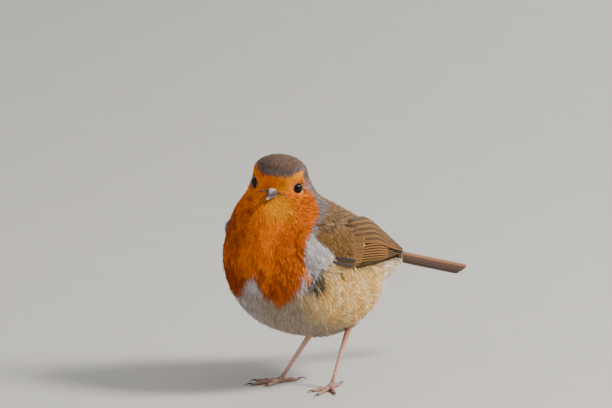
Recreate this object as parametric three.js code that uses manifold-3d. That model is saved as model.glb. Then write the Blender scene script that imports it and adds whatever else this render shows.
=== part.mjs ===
// A European robin standing at rest, as closed solids. Millimetres, +Z up.
//
// The bird faces -Y, its left side is +X, and its toes stand on z = 0. The head is turned to the
// bird's left and leans a little to that side. The flesh and plumage are one smooth field of blended
// ellipsoids, parted by thin flat cuts into head, neck, trunk and rump. Wings are curved slabs that
// lie along that field, and the bill, tail and legs are lofted through named sections.

import * as THREE from 'three';
import { mergeVertices } from 'three/addons/utils/BufferGeometryUtils.js';
import Module from 'manifold-3d';

const wasm = await Module();
wasm.setup();

// ---------------------------------------------------------------- driving dimensions

const GAP = 0.3; // clearance between neighbouring pieces
const FAR = 90; // longer than any ray from a piece's centre to the outline

const HEAD_CENTRE = new THREE.Vector3(-0.3, -15.45, 89.4);
const HEAD_TURN = 34.5; // degrees towards the bird's left
const HEAD_LEAN = 5; // degrees, left side down

const EYE_RADIUS = 2.6;
const EYE_PLACE = { side: 8.4, forward: 3.1, up: -1.2 };

const BILL_ROOT = 8.2; // forward of the head centre, inside the face
const BILL_FACE = 10.2; // where the culmen leaves the feathers
const BILL_TIP = 18.0;
const BILL_HALF_WIDTH = 2.15;
const CULMEN_TOP = -1.1;
const CULMEN_DROP = 3.1;
const TOMIUM_TOP = -3.65;
const TOMIUM_DROP = 0.85;
const LOWER_DEPTH = 1.9;
const LOWER_TIP = 17.3;

const NECK_CUT = { at: new THREE.Vector3(0, -12, 79.6), pitch: -10 };
const SHOULDER_CUT = { at: new THREE.Vector3(0, -12, 71), pitch: -12 };
const RUMP_CUT = { at: new THREE.Vector3(0, 33.5, 52), pitch: 66 };

const WING_INNER = -0.55; // slab's inner face, against the field
const WING_OUTER = 1.05; // slab's outer face, against the field
const WING_SPLIT = { root: 0.36, upper: 0.42, lower: 0.75, tipEarly: 0.7, tipLate: 0.88 };
const TERTIAL_RISE = { at: 0.68, reach: 0.17, height: 1.7 }; // the tertials' hump over the back
const BEND_PROUD = { left: 1.0, right: 5.2 }; // how far each wrist stands out of the breast side

const TAIL_ROOT = new THREE.Vector3(0, 37, 54);
const TAIL_TIP = new THREE.Vector3(0, 87, 39.6);
const TAIL_HALF_WIDTH = { root: 4.2, middle: 5.4, tip: 6.2 };
const TAIL_THICKNESS = { root: 2.6, tip: 1.0 };
const TAIL_THINNING = 0.45; // how much thinner its edges are than its ridge
const TAIL_CAMBER = 3.9; // how far its edges hang below its ridge
const TAIL_RIDGE = 0.18; // the ridge's height over the middle line, as a share of the camber
const TAIL_NOTCH = 1.6; // how much the middle feathers fall short of the longest
const TAIL_STEP = 7; // how much the outermost feathers fall short

const LEGS = {
  left: { foot: [11.3, 3.2], ankle: [11.3, 13.2, 26.2] },
  right: { foot: [-12.5, -4.6], ankle: [-4.1, 6.0, 22.2] },
};
const THIGH_RADII = [3.8, 5.4, 5.8];
const TARSUS_RADIUS = { ankle: 1.35, middle: 0.95, foot: 1.0 };
const FOOT_RADIUS = 2.2;
const FOOT_HEIGHT = 2.1;
const TOE_RADIUS = { root: 0.72, middle: 0.92, tip: 0.68 };
const TOES = [
  { name: 'inner', bearing: -24, length: 9.5, claw: 3.6 },
  { name: 'middle', bearing: 6, length: 13.5, claw: 4.0 },
  { name: 'outer', bearing: 38, length: 10.0, claw: 3.6 },
  { name: 'hind', bearing: 184, length: 8.2, claw: 5.4 },
];
const FOOT_TURN = { left: 20, right: 8 }; // degrees outwards
const CLAW_RADIUS = { root: 0.55, tip: 0.12 };

// ---------------------------------------------------------------- finishes

const finish = (color, roughness) => new THREE.MeshStandardMaterial({ color, roughness, metalness: 0 });
const FINISH = {
  head: finish('#b5682a', 0.9),
  neck: finish('#c96a1d', 0.9),
  trunk: finish('#c9b28c', 0.9),
  rump: finish('#7d6f52', 0.9),
  tail: finish('#6b4f37', 0.8),
  wing: finish('#6a5a3c', 0.8),
  flight: finish('#53462f', 0.75),
  eye: finish('#0a0808', 0.08),
  bill: finish('#2e2a2b', 0.45),
  leg: finish('#a26f5c', 0.6),
  claw: finish('#2a211d', 0.5),
};

// ---------------------------------------------------------------- the field of the body

const HEAD_FRAME = new THREE.Matrix4().makeRotationFromEuler(
  new THREE.Euler(0, THREE.MathUtils.degToRad(HEAD_LEAN), THREE.MathUtils.degToRad(HEAD_TURN), 'ZYX'),
);

/** A point given in the head's own directions, from the head's centre. */
function headPoint(side, forward, up) {
  return new THREE.Vector3(side, -forward, up).applyMatrix4(HEAD_FRAME).add(HEAD_CENTRE);
}

/** One ellipsoid of the field; blend is how softly it runs into those before it. */
function form(centre, radii, blend, pitch = 0, turn = 0) {
  const euler = new THREE.Euler(THREE.MathUtils.degToRad(pitch), 0, THREE.MathUtils.degToRad(turn), 'ZXY');
  const inverse = new THREE.Matrix4().makeRotationFromEuler(euler).transpose();
  return { centre: new THREE.Vector3(...centre), radii: new THREE.Vector3(...radii), blend, inverse };
}

/** One ellipsoid of the head, given in the head's own directions. */
function headForm(side, forward, up, radii, blend) {
  const inverse = HEAD_FRAME.clone().transpose();
  return { centre: headPoint(side, forward, up), radii: new THREE.Vector3(...radii), blend, inverse };
}

const BODY_FORMS = [
  form([0, -11.5, 58], [26.5, 27.3, 26], 8), // breast
  form([0, -6, 47], [24, 25.2, 22.6], 9), // belly
  form([0, 16.5, 43.5], [18.5, 21, 18.5], 10), // abdomen
  form([0, 6.5, 41.2], [18.5, 18.5, 19.4], 9), // lower belly
  form([0, 13.5, 62.2], [18.5, 24, 11.8], 9, -31.5), // mantle
  form([-1.2, -15.8, 74.8], [18.2, 16.2, 13.2], 6, 0, 34), // neck
  headForm(-0.2, -2.6, 0.2, [11.0, 11.0, 10.0], 4), // skull
  headForm(-0.3, -1.6, 4.8, [11.0, 10.0, 5.3], 4), // crown
  headForm(0, -7.5, -5, [9.5, 5.8, 7.0], 3), // nape
  headForm(0, 3.4, 0.6, [6.6, 5.4, 6.6], 4), // forehead
  headForm(5.8, -3.4, -4.2, [6.0, 7.2, 7.0], 3), // left cheek
  headForm(-6.5, -3.4, -4.5, [6.9, 7.2, 7.0], 3), // right cheek
  headForm(7.6, -6.0, -5.6, [6.2, 6.4, 7.2], 4), // left side of the nape
  headForm(0, 6.4, -3.2, [3.4, 3.0, 3.0], 3), // muzzle
  headForm(0, 2.6, -8.6, [6.4, 6.0, 6.2], 4), // chin
  form([0, 33, 54.5], [9, 16, 6], 9, -28), // rump
  form([0, 36, 49.5], [7, 13, 5], 8, -8), // vent
];

const WING_SUPPORT = form([0, 40, 51.5], [6.4, 24, 5.6], 6, -16); // carries the folded tips

const local = new THREE.Vector3();
const scaled = new THREE.Vector3();

/** Signed distance, near enough, from a point to one ellipsoid. */
function formDistance(point, { centre, radii, inverse }) {
  local.copy(point).sub(centre).applyMatrix4(inverse);
  scaled.copy(local).divide(radii);
  const near = scaled.length();
  const slope = scaled.divide(radii).length();
  return (near * (near - 1)) / Math.max(slope, 1e-9);
}

/** The smaller of two distances, with the crease between them rounded over the blend width. */
function smoothMin(a, b, blend) {
  const share = THREE.MathUtils.clamp(0.5 + (0.5 * (b - a)) / blend, 0, 1);
  return THREE.MathUtils.lerp(b, a, share) - blend * share * (1 - share);
}

function fieldOf(forms) {
  return (point) => forms.reduce(
    (distance, item) => smoothMin(distance, formDistance(point, item), item.blend),
    FAR,
  );
}

const bodyField = fieldOf(BODY_FORMS);
const wingField = fieldOf([...BODY_FORMS, WING_SUPPORT]);

/** How far a ray from inside the body runs to the outermost place where a field has this level. */
function reach(origin, direction, field, level = 0) {
  const point = new THREE.Vector3();
  let distance = FAR;
  for (let step = 0; step < 120; step += 1) {
    const over = field(point.copy(direction).multiplyScalar(distance).add(origin)) - level;
    if (over < 1e-4) break;
    distance -= 0.85 * over;
  }
  return distance;
}

// ---------------------------------------------------------------- solids

/** A closed mesh as a manifold solid. */
function toSolid(geometry) {
  const bare = new THREE.BufferGeometry();
  bare.setAttribute('position', geometry.getAttribute('position').clone());
  if (geometry.index) bare.setIndex(geometry.index.clone());
  const merged = mergeVertices(bare, 1e-4);
  return new wasm.Manifold(new wasm.Mesh({
    numProp: 3,
    vertProperties: new Float32Array(merged.getAttribute('position').array),
    triVerts: new Uint32Array(merged.index.array),
  }));
}

/** A manifold solid as a flat-shaded geometry. */
function toGeometry(solid) {
  const { vertProperties, triVerts } = solid.getMesh();
  const geometry = new THREE.BufferGeometry();
  geometry.setAttribute('position', new THREE.BufferAttribute(new Float32Array(vertProperties), 3));
  geometry.setIndex(new THREE.BufferAttribute(new Uint32Array(triVerts), 1));
  return geometry;
}

/** A closed surface from rings of equal length; each end is closed by a fan to its middle point. */
function loft(rings) {
  const count = rings[0].length;
  const positions = rings.flat().flatMap((point) => point.toArray());
  const index = [];
  for (let ring = 0; ring + 1 < rings.length; ring += 1) {
    for (let k = 0; k < count; k += 1) {
      const next = (k + 1) % count;
      const a = ring * count + k;
      const b = ring * count + next;
      index.push(a, b, a + count, b, b + count, a + count);
    }
  }
  for (const [ring, last] of [[0, false], [rings.length - 1, true]]) {
    const middle = rings[ring].reduce((sum, point) => sum.add(point), new THREE.Vector3());
    const apex = positions.length / 3;
    positions.push(...middle.divideScalar(count).toArray());
    for (let k = 0; k < count; k += 1) {
      const a = ring * count + k;
      const b = ring * count + ((k + 1) % count);
      index.push(...(last ? [a, b, apex] : [b, a, apex]));
    }
  }
  const geometry = new THREE.BufferGeometry();
  geometry.setAttribute('position', new THREE.Float32BufferAttribute(positions, 3));
  geometry.setIndex(index);
  return geometry;
}

/** The same surface with its faces pointing outwards, whichever way the rings ran. */
function outward(geometry) {
  const position = geometry.getAttribute('position');
  const index = geometry.index.array;
  const [a, b, c] = [new THREE.Vector3(), new THREE.Vector3(), new THREE.Vector3()];
  let volume = 0;
  for (let k = 0; k < index.length; k += 3) {
    a.fromBufferAttribute(position, index[k]);
    b.fromBufferAttribute(position, index[k + 1]);
    c.fromBufferAttribute(position, index[k + 2]);
    volume += a.dot(b.cross(c));
  }
  if (volume < 0) {
    for (let k = 0; k < index.length; k += 3) {
      [index[k], index[k + 1]] = [index[k + 1], index[k]];
    }
  }
  return geometry;
}

/** A big block whose near face passes through a point, square to a normal. */
function halfSpace(point, normal) {
  const size = 4 * FAR;
  const block = new THREE.BoxGeometry(size, size, size);
  block.translate(0, 0, size / 2);
  block.applyQuaternion(new THREE.Quaternion().setFromUnitVectors(new THREE.Vector3(0, 0, 1), normal));
  block.translate(point.x, point.y, point.z);
  return toSolid(block);
}

/** The upward or forward normal of a cut: straight up at pitch 0, tipped towards +Y by its pitch. */
function cutNormal({ pitch }) {
  const angle = THREE.MathUtils.degToRad(pitch);
  return new THREE.Vector3(0, Math.sin(angle), Math.cos(angle));
}

/** What lies on one side of a cut (side 1 is the normal's side), half the gap away from it. */
function sideOf(cut, side) {
  const normal = cutNormal(cut).multiplyScalar(side);
  return halfSpace(cut.at.clone().addScaledVector(normal, GAP / 2), normal);
}

/** A sphere's points pushed out from a centre onto the field, kept to the near side of its cuts. */
function wrapped(centre, columns, rows, cuts, level = 0) {
  const spill = 7; // how far the wrap runs past a cut before the cut trims it
  const bounded = (point) => cuts.reduce((distance, [cut, side]) => {
    const beyond = -side * point.clone().sub(cut.at).dot(cutNormal(cut)) - spill;
    return Math.max(distance, beyond);
  }, bodyField(point) - level);
  const sphere = new THREE.SphereGeometry(1, columns, rows);
  sphere.rotateX(Math.PI / 2);
  const position = sphere.getAttribute('position');
  const direction = new THREE.Vector3();
  for (let k = 0; k < position.count; k += 1) {
    direction.fromBufferAttribute(position, k).normalize();
    direction.multiplyScalar(reach(centre, direction, bounded)).add(centre);
    position.setXYZ(k, ...direction.toArray());
  }
  return cuts.reduce((solid, [cut, side]) => solid.intersect(sideOf(cut, side)), toSolid(sphere));
}

function ellipsoid(centre, radii, columns, rows, grow = 0) {
  const sphere = new THREE.SphereGeometry(1, columns, rows);
  sphere.rotateX(Math.PI / 2);
  sphere.scale(radii[0] + grow, radii[1] + grow, radii[2] + grow);
  sphere.translate(centre.x, centre.y, centre.z);
  return toSolid(sphere);
}

// ---------------------------------------------------------------- wings

// Along the folded wing from the wrist to the tip: where its cross-section is (y, and the height z
// of the spine it wraps round), and the angles of its upper and lower edges seen along the spine.
const WING_STATIONS = [
  { y: -23.5, z: 63.5, upper: 15, lower: 1 },
  { y: -20, z: 62.5, upper: 24, lower: -5 },
  { y: -9, z: 60, upper: 31, lower: -8 },
  { y: 3, z: 57.5, upper: 38, lower: -9 },
  { y: 15, z: 55, upper: 50, lower: -5 },
  { y: 27, z: 53, upper: 64, lower: -3 },
  { y: 38, z: 51, upper: 62, lower: 4 },
  { y: 48, z: 49.5, upper: 34, lower: 16 },
];
const wingSpine = new THREE.CatmullRomCurve3(WING_STATIONS.map(({ y, z }) => new THREE.Vector3(0, y, z)));
const wingEdges = new THREE.CatmullRomCurve3(
  WING_STATIONS.map(({ upper, lower }) => new THREE.Vector3(upper, lower, 0)),
);

/** Half an oval over 0..1, rising from nothing at each end. */
const oval = (share) => Math.sqrt(Math.max(0, 1 - (2 * share - 1) ** 2));

/**
 * A point of the folded wing. s runs from wrist to tip, t from the upper edge to the lower one, and
 * lift is the height over the field. margin widens the wing all round, for its clearance.
 */
function wingPoint(side, s, t, lift, margin = 0) {
  const origin = wingSpine.getPoint(s);
  origin.y += (2 * s - 1) * margin;
  const edges = wingEdges.getPoint(s);
  const angle = THREE.MathUtils.degToRad(THREE.MathUtils.lerp(edges.x, edges.y, t));
  const sideways = (0.5 - t) * 2;
  const direction = new THREE.Vector3(side * Math.cos(angle), 0, Math.sin(angle));
  const distance = reach(origin, direction, wingField) + lift;
  const across = new THREE.Vector3(-side * Math.sin(angle), 0, Math.cos(angle));
  return origin.addScaledVector(direction, distance).addScaledVector(across, sideways * margin);
}

/** How far the wing stands out of the plumage: most at the wrist, little at the tip. */
function wingLift(side, s, t) {
  const wrist = (side > 0 ? BEND_PROUD.left : BEND_PROUD.right) - WING_OUTER;
  const bend = wrist * Math.exp(-((s / 0.13) ** 2)) * oval(THREE.MathUtils.clamp(t * 0.9 + 0.05, 0, 1));
  const roundedFront = THREE.MathUtils.smoothstep(s, -0.02, 0.035);
  const along = (s - TERTIAL_RISE.at) / TERTIAL_RISE.reach;
  const rise = TERTIAL_RISE.height * Math.exp(-(along ** 2)) * Math.max(0, 1 - 1.6 * t);
  return (WING_OUTER + Math.max(bend, -0.6)) * (0.35 + 0.65 * roundedFront) + rise;
}

/** A slab of wing over a patch: rows across and columns along, where place(u, w) gives s and t. */
function wingSlab(side, columns, rows, place, margin = 0, spill = 0) {
  const rings = [];
  for (let column = 0; column <= columns; column += 1) {
    const outer = [];
    const inner = [];
    for (let row = 0; row <= rows; row += 1) {
      const [s, t] = place(column / columns, row / rows);
      outer.push(wingPoint(side, s, t, wingLift(side, s, t) + spill, margin));
      inner.push(wingPoint(side, s, t, WING_INNER - margin, margin));
    }
    rings.push([...outer, ...inner.reverse()]);
  }
  return outward(loft(rings));
}

const SPLIT_ALONG = 0.0024; // half the gap along the wing, as a share of its length
const SPLIT_ACROSS = 0.011; // half the gap across it, as a share of its width
const SPLIT_TIP = 0.009; // the gap at the slanting ends of the inner flight feathers

/** Where the inner flight feathers end and the wing tip goes on alone. */
function tipEdge(t) {
  const share = Math.min(t / WING_SPLIT.lower, 1);
  return THREE.MathUtils.lerp(WING_SPLIT.tipLate, WING_SPLIT.tipEarly, share);
}

/** The same edge, as the height at which the primaries begin. */
function primaryEdge(s) {
  const share = (WING_SPLIT.tipLate - s) / (WING_SPLIT.tipLate - WING_SPLIT.tipEarly);
  return WING_SPLIT.lower * THREE.MathUtils.clamp(share, 0, 1);
}

function wingBand(from, to) {
  return (u, w) => {
    const t = THREE.MathUtils.lerp(from, to, w);
    return [THREE.MathUtils.lerp(WING_SPLIT.root + SPLIT_ALONG, tipEdge(t) - SPLIT_TIP, u), t];
  };
}

const WING_PATCHES = {
  coverts: { columns: 7, rows: 6, place: (u, w) => [u * (WING_SPLIT.root - SPLIT_ALONG), w] },
  tertials: { columns: 8, rows: 4, place: wingBand(0, WING_SPLIT.upper - SPLIT_ACROSS) },
  secondaries: {
    columns: 7,
    rows: 3,
    place: wingBand(WING_SPLIT.upper + SPLIT_ACROSS, WING_SPLIT.lower - 2 * SPLIT_ACROSS),
  },
  primaries: {
    columns: 12,
    rows: 3,
    place: (u, w) => {
      const s = THREE.MathUtils.lerp(WING_SPLIT.root + SPLIT_ALONG, 1, u);
      return [s, THREE.MathUtils.lerp(primaryEdge(s) + 2 * SPLIT_ACROSS, 1, w)];
    },
  },
};

/** The room a whole wing takes out of the body under it. */
function wingClearance(side) {
  return toSolid(wingSlab(side, 16, 6, (u, w) => [u, w], GAP, 3));
}

// ---------------------------------------------------------------- bill, tail and legs

/** A section of the bill: a rounded roof or keel between two heights. */
function billRing(forward, halfWidth, edge, ridge) {
  const steps = 8;
  const ring = [];
  for (let k = 0; k <= steps; k += 1) {
    const angle = (Math.PI * k) / steps;
    const bulge = Math.sin(angle) ** 0.8;
    ring.push(headPoint(halfWidth * Math.cos(angle), forward, THREE.MathUtils.lerp(edge, ridge, bulge)));
  }
  return ring;
}

const tomium = (forward) => TOMIUM_TOP - (TOMIUM_DROP * (forward - BILL_FACE)) / (BILL_TIP - BILL_FACE);

function upperBill() {
  const rings = [];
  for (let k = 0; k <= 8; k += 1) {
    const forward = THREE.MathUtils.lerp(BILL_ROOT, BILL_TIP, k / 8);
    const along = THREE.MathUtils.clamp((forward - BILL_FACE) / (BILL_TIP - BILL_FACE), -0.3, 1);
    const ridge = CULMEN_TOP - CULMEN_DROP * Math.sign(along) * Math.abs(along) ** 1.2;
    const halfWidth = BILL_HALF_WIDTH * (1 - 0.93 * Math.max(along, 0) ** 0.85);
    rings.push(billRing(forward, halfWidth, tomium(forward), Math.max(ridge, tomium(forward) + 0.3)));
  }
  return outward(loft(rings));
}

function lowerBill() {
  const rings = [];
  for (let k = 0; k <= 7; k += 1) {
    const forward = THREE.MathUtils.lerp(BILL_ROOT, LOWER_TIP, k / 7);
    const along = THREE.MathUtils.clamp((forward - BILL_FACE) / (LOWER_TIP - BILL_FACE), 0, 1);
    const top = tomium(forward) - GAP;
    const halfWidth = 0.9 * BILL_HALF_WIDTH * (1 - 0.9 * along ** 0.9);
    rings.push(billRing(forward, halfWidth, top, top - LOWER_DEPTH * (1 - 0.85 * along ** 1.3)));
  }
  return outward(loft(rings));
}

/** The folded tail: a steep roof of stacked feathers, its sides stepped short of a lightly notched tip. */
function tailGeometry(grow = 0) {
  const columns = 7;
  const across = 6;
  const run = TAIL_TIP.clone().sub(TAIL_ROOT).normalize();
  const rings = [];
  for (let column = 0; column <= columns; column += 1) {
    const share = column / columns;
    const middle = TAIL_ROOT.clone().lerp(TAIL_TIP, share);
    const { root, middle: waist, tip } = TAIL_HALF_WIDTH;
    const halfWidth = THREE.MathUtils.lerp(
      THREE.MathUtils.lerp(root, waist, Math.min(share * 2, 1)), tip, Math.max(share * 2 - 1, 0),
    );
    const thickness = THREE.MathUtils.lerp(TAIL_THICKNESS.root, TAIL_THICKNESS.tip, share) + 2 * grow;
    const top = [];
    const under = [];
    for (let row = 0; row <= across; row += 1) {
      const x = ((2 * row) / across - 1) * (1 + grow / halfWidth);
      const short = TAIL_STEP * x * x + (share === 1 ? TAIL_NOTCH * (1 - Math.abs(x)) : 0);
      const place = middle.clone().addScaledVector(run, -short * share * share);
      const roof = place.z + TAIL_CAMBER * (TAIL_RIDGE - x * x);
      const half = (thickness / 2) * (1 - TAIL_THINNING * x * x);
      top.push(new THREE.Vector3(x * halfWidth, place.y, roof + half));
      under.push(new THREE.Vector3(x * halfWidth, place.y, roof - half));
    }
    rings.push([...top, ...under.reverse()]);
  }
  return outward(loft(rings));
}

/** A tube of rings square to its path; a flat of each ring faces down. */
function tube(points, radii, sides = 8) {
  const rings = points.map((point, k) => {
    const along = points[Math.min(k + 1, points.length - 1)].clone().sub(points[Math.max(k - 1, 0)]);
    const across = new THREE.Vector3(0, 0, 1).cross(along).normalize();
    const up = along.cross(across).normalize();
    return Array.from({ length: sides }, (_, step) => {
      const angle = (2 * Math.PI * (step + 0.5)) / sides;
      return point.clone()
        .addScaledVector(across, radii[k] * Math.cos(angle))
        .addScaledVector(up, radii[k] * Math.sin(angle));
    });
  });
  return outward(loft(rings));
}

const FLAT = Math.cos(Math.PI / 8); // from an eight-sided ring's middle to its flat

function tarsusTube(foot, ankle, grow) {
  const steps = 6;
  const { ankle: top, middle, foot: bottom } = TARSUS_RADIUS;
  const points = [];
  const radii = [];
  for (let k = 0; k <= steps; k += 1) {
    const share = k / steps;
    points.push(ankle.clone().lerp(foot, share));
    const end = share < 0.5 ? top : bottom;
    radii.push(THREE.MathUtils.lerp(middle, end, Math.abs(2 * share - 1) ** 2.2) + grow);
  }
  return tube(points, radii);
}

/** The point at a distance from the foot along a bearing, at a given height. */
function onFloor([x, y], bearing, distance, height) {
  const angle = THREE.MathUtils.degToRad(bearing);
  return new THREE.Vector3(x + distance * Math.sin(angle), y - distance * Math.cos(angle), height);
}

function toeTube(foot, bearing, length) {
  const steps = 6;
  const points = [];
  const radii = [];
  for (let k = 0; k <= steps; k += 1) {
    const share = k / steps;
    const { root, middle, tip } = TOE_RADIUS;
    const plain = THREE.MathUtils.lerp(share < 0.5 ? root : tip, middle, 1 - Math.abs(2 * share - 1));
    const pads = 1 + 0.09 * Math.cos(4 * Math.PI * share); // the swellings under the joints
    const radius = plain * pads;
    const start = FOOT_RADIUS + GAP;
    points.push(onFloor(foot, bearing, THREE.MathUtils.lerp(start, length, share), radius * FLAT));
    radii.push(radius);
  }
  return tube(points, radii);
}

function clawTube(foot, bearing, start, length) {
  const steps = 4;
  const points = [];
  const radii = [];
  for (let k = 0; k <= steps; k += 1) {
    const share = k / steps;
    const radius = THREE.MathUtils.lerp(CLAW_RADIUS.root, CLAW_RADIUS.tip, share ** 0.8);
    const arch = 0.55 * Math.sin(Math.PI * Math.min(share * 1.05, 1)); // the claw's curve
    const distance = start + GAP + share * (length - GAP);
    points.push(onFloor(foot, bearing, distance, radius + arch * length * 0.32));
    radii.push(radius);
  }
  return tube(points, radii, 6);
}

// ---------------------------------------------------------------- the bird

const robin = new THREE.Group();

function addPiece(name, geometry, material) {
  geometry.computeVertexNormals();
  const mesh = new THREE.Mesh(geometry, material);
  mesh.name = name;
  robin.add(mesh);
}

function addHead() {
  const above = [[NECK_CUT, 1]];
  const eye = (side, grow) => ellipsoid(
    headPoint(side * EYE_PLACE.side, EYE_PLACE.forward, EYE_PLACE.up),
    Array(3).fill(EYE_RADIUS), 14, 10, grow,
  );
  let head = wrapped(HEAD_CENTRE, 28, 18, above);
  const face = wrapped(HEAD_CENTRE, 28, 18, above, GAP);
  for (const side of [1, -1]) head = head.subtract(eye(side, GAP));
  addPiece('head', toGeometry(head), FINISH.head);
  for (const [name, side] of [['left', 1], ['right', -1]]) {
    addPiece(`eye_${name}`, toGeometry(eye(side, 0)), FINISH.eye);
  }
  addPiece('bill_upper', toGeometry(toSolid(upperBill()).subtract(face)), FINISH.bill);
  addPiece('bill_lower', toGeometry(toSolid(lowerBill()).subtract(face)), FINISH.bill);
}

function addTrunk(clearances) {
  const legRooms = Object.values(LEGS).flatMap((leg) => [thigh(leg.ankle, GAP), tarsus(leg, GAP)]);
  const cutAway = (solid, rooms) => rooms.reduce((rest, room) => rest.subtract(room), solid);
  const neck = wrapped(new THREE.Vector3(0, -14, 73.5), 32, 20, [[NECK_CUT, -1], [SHOULDER_CUT, 1]]);
  const trunk = wrapped(new THREE.Vector3(0, -3, 54), 36, 24, [[SHOULDER_CUT, -1], [RUMP_CUT, -1]]);
  const rump = wrapped(new THREE.Vector3(0, 37, 53), 18, 12, [[RUMP_CUT, 1]]);
  addPiece('neck', toGeometry(cutAway(neck, clearances)), FINISH.neck);
  addPiece('trunk', toGeometry(cutAway(trunk, [...clearances, ...legRooms])), FINISH.trunk);
  addPiece('rump', toGeometry(cutAway(rump, [...clearances, toSolid(tailGeometry(GAP))])), FINISH.rump);
  addPiece('tail', tailGeometry(), FINISH.tail);
}

function addWing(name, side) {
  for (const [part, { columns, rows, place }] of Object.entries(WING_PATCHES)) {
    const material = part === 'coverts' || part === 'tertials' ? FINISH.wing : FINISH.flight;
    addPiece(`wing_${part}_${name}`, wingSlab(side, columns, rows, place), material);
  }
}

/** A leg's tarsus, from its foot pad up to its ankle. */
function tarsus({ foot, ankle }, grow) {
  const heel = new THREE.Vector3(foot[0], foot[1], FOOT_HEIGHT + GAP);
  return toSolid(tarsusTube(heel, new THREE.Vector3(...ankle), grow));
}

function thigh(ankle, grow) {
  const centre = new THREE.Vector3(ankle[0], ankle[1] + 0.4, ankle[2] + 3.8);
  return ellipsoid(centre, THIGH_RADII, 12, 8, grow);
}

function addLeg(name, side) {
  const { foot, ankle } = LEGS[name];
  const padCentre = new THREE.Vector3(foot[0], foot[1], 0);
  const floor = halfSpace(new THREE.Vector3(0, 0, 0), new THREE.Vector3(0, 0, 1));
  const pad = ellipsoid(padCentre, [FOOT_RADIUS, FOOT_RADIUS, FOOT_HEIGHT], 16, 8).intersect(floor);
  const padRoom = ellipsoid(padCentre, [FOOT_RADIUS, FOOT_RADIUS, FOOT_HEIGHT], 16, 8, GAP);
  const flesh = thigh(ankle, 0).subtract(tarsus(LEGS[name], GAP));
  addPiece(`thigh_${name}`, toGeometry(flesh), FINISH.trunk);
  addPiece(`tarsus_${name}`, toGeometry(tarsus(LEGS[name], 0).subtract(padRoom)), FINISH.leg);
  addPiece(`foot_${name}`, toGeometry(pad), FINISH.leg);
  for (const toe of TOES) {
    const bearing = side * (toe.bearing + FOOT_TURN[name]);
    addPiece(`toe_${toe.name}_${name}`, toeTube(foot, bearing, toe.length), FINISH.leg);
    addPiece(`claw_${toe.name}_${name}`, clawTube(foot, bearing, toe.length, toe.claw), FINISH.claw);
  }
}

const wingRooms = [wingClearance(1), wingClearance(-1)];
addHead();
addTrunk(wingRooms);
for (const [name, side] of [['left', 1], ['right', -1]]) {
  addWing(name, side);
  addLeg(name, side);
}

// The origin is under the middle of the bird's box, on the floor.
const bounds = new THREE.Box3().setFromObject(robin);
const middle = bounds.getCenter(new THREE.Vector3());
robin.position.set(-middle.x, -middle.y, -bounds.min.z);

export default robin;
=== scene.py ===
"""A European robin as a still, life-size museum model.

One skin takes the place of the flesh. Over it lie nearly forty thousand small tufts of feather, and the
wings and tail are built from single vanes. Lengths are millimetres in the bird's own space, whose origin
is on the floor between the feet; BirdSpace takes them to the frame's metres.
"""

import logging
import math
from collections.abc import Callable, Iterable, Sequence
from dataclasses import dataclass, field
from enum import Enum

import bmesh
import bpy
import numpy as np
from bpy.types import ID, Material, Node, NodeSocket, NodeTree, Object
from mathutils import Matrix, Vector
from mathutils.bvhtree import BVHTree


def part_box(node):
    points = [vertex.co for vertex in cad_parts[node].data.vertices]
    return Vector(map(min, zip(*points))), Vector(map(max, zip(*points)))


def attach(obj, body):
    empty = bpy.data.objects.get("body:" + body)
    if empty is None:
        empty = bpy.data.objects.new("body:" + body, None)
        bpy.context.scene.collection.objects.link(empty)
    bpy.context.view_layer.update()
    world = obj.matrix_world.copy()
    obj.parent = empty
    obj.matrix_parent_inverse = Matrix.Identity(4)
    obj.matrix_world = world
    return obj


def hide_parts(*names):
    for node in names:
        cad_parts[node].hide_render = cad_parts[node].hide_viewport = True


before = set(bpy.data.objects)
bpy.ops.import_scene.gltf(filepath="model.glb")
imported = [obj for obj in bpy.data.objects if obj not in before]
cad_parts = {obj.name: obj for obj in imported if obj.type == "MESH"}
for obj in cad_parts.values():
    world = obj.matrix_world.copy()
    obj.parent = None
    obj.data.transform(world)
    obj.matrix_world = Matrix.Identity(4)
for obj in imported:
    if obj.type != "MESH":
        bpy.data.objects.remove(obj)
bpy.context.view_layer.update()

LOG = logging.getLogger("robin")
MM = 0.001
FEET = {"left": (11.3, 3.2), "right": (-12.5, -4.6)}
SIDES = {"left": 1.0, "right": -1.0}
EYE_RADIUS = 2.6
FLOAT = np.float64
Array = np.ndarray


# ------------------------------------------------------------------ small arithmetic


def unit(vectors: Array) -> Array:
    """Vectors at length one."""
    return vectors / np.maximum(np.linalg.norm(vectors, axis=-1, keepdims=True), 1e-9)


def lerp(start: Array, end: Array, share: Array) -> Array:
    """The value a share of the way from start to end."""
    return start + (end - start) * share


def smoothstep(low: float, high: float, value: Array) -> Array:
    """A soft ramp from 0 at low to 1 at high."""
    share = np.clip((np.asarray(value) - low) / (high - low), 0.0, 1.0)
    return share * share * (3.0 - 2.0 * share)


def pushed_out(points: Array, centre: Array, radius: float) -> Array:
    """Places moved straight out of a ball."""
    away = points - centre
    inside = np.linalg.norm(away, axis=1, keepdims=True) < radius
    return np.where(inside, centre + unit(away) * radius, points)


def along_line(value: Array, stops: Sequence[tuple[float, float]]) -> Array:
    """A value read off a line through stops given as (place, value), in rising order of place."""
    places, values = zip(*stops)
    return np.interp(value, places, values)


def blend(colour: Array, other: Array, share: Array) -> Array:
    """Colours taken a share of the way to others, one share for each place."""
    return lerp(colour, other, np.clip(share, 0, 1)[:, None])


def waves(points: Array, size: float, seed: int) -> Array:
    """Smooth noise between about -1 and 1, from a few sine waves in fixed directions.

    Args:
        points: Places, (n, 3).
        size: The wavelength.
        seed: Picks the directions.

    Returns:
        One value for each place.
    """
    rng = np.random.default_rng(seed)
    total = np.zeros(len(points))
    for octave in range(5):
        direction = unit(rng.normal(size=3)) * (2 * np.pi / size) * (0.7 + 0.35 * octave)
        total += np.sin(points @ direction + rng.uniform(0, 2 * np.pi))
    return total / 2.6


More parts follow.
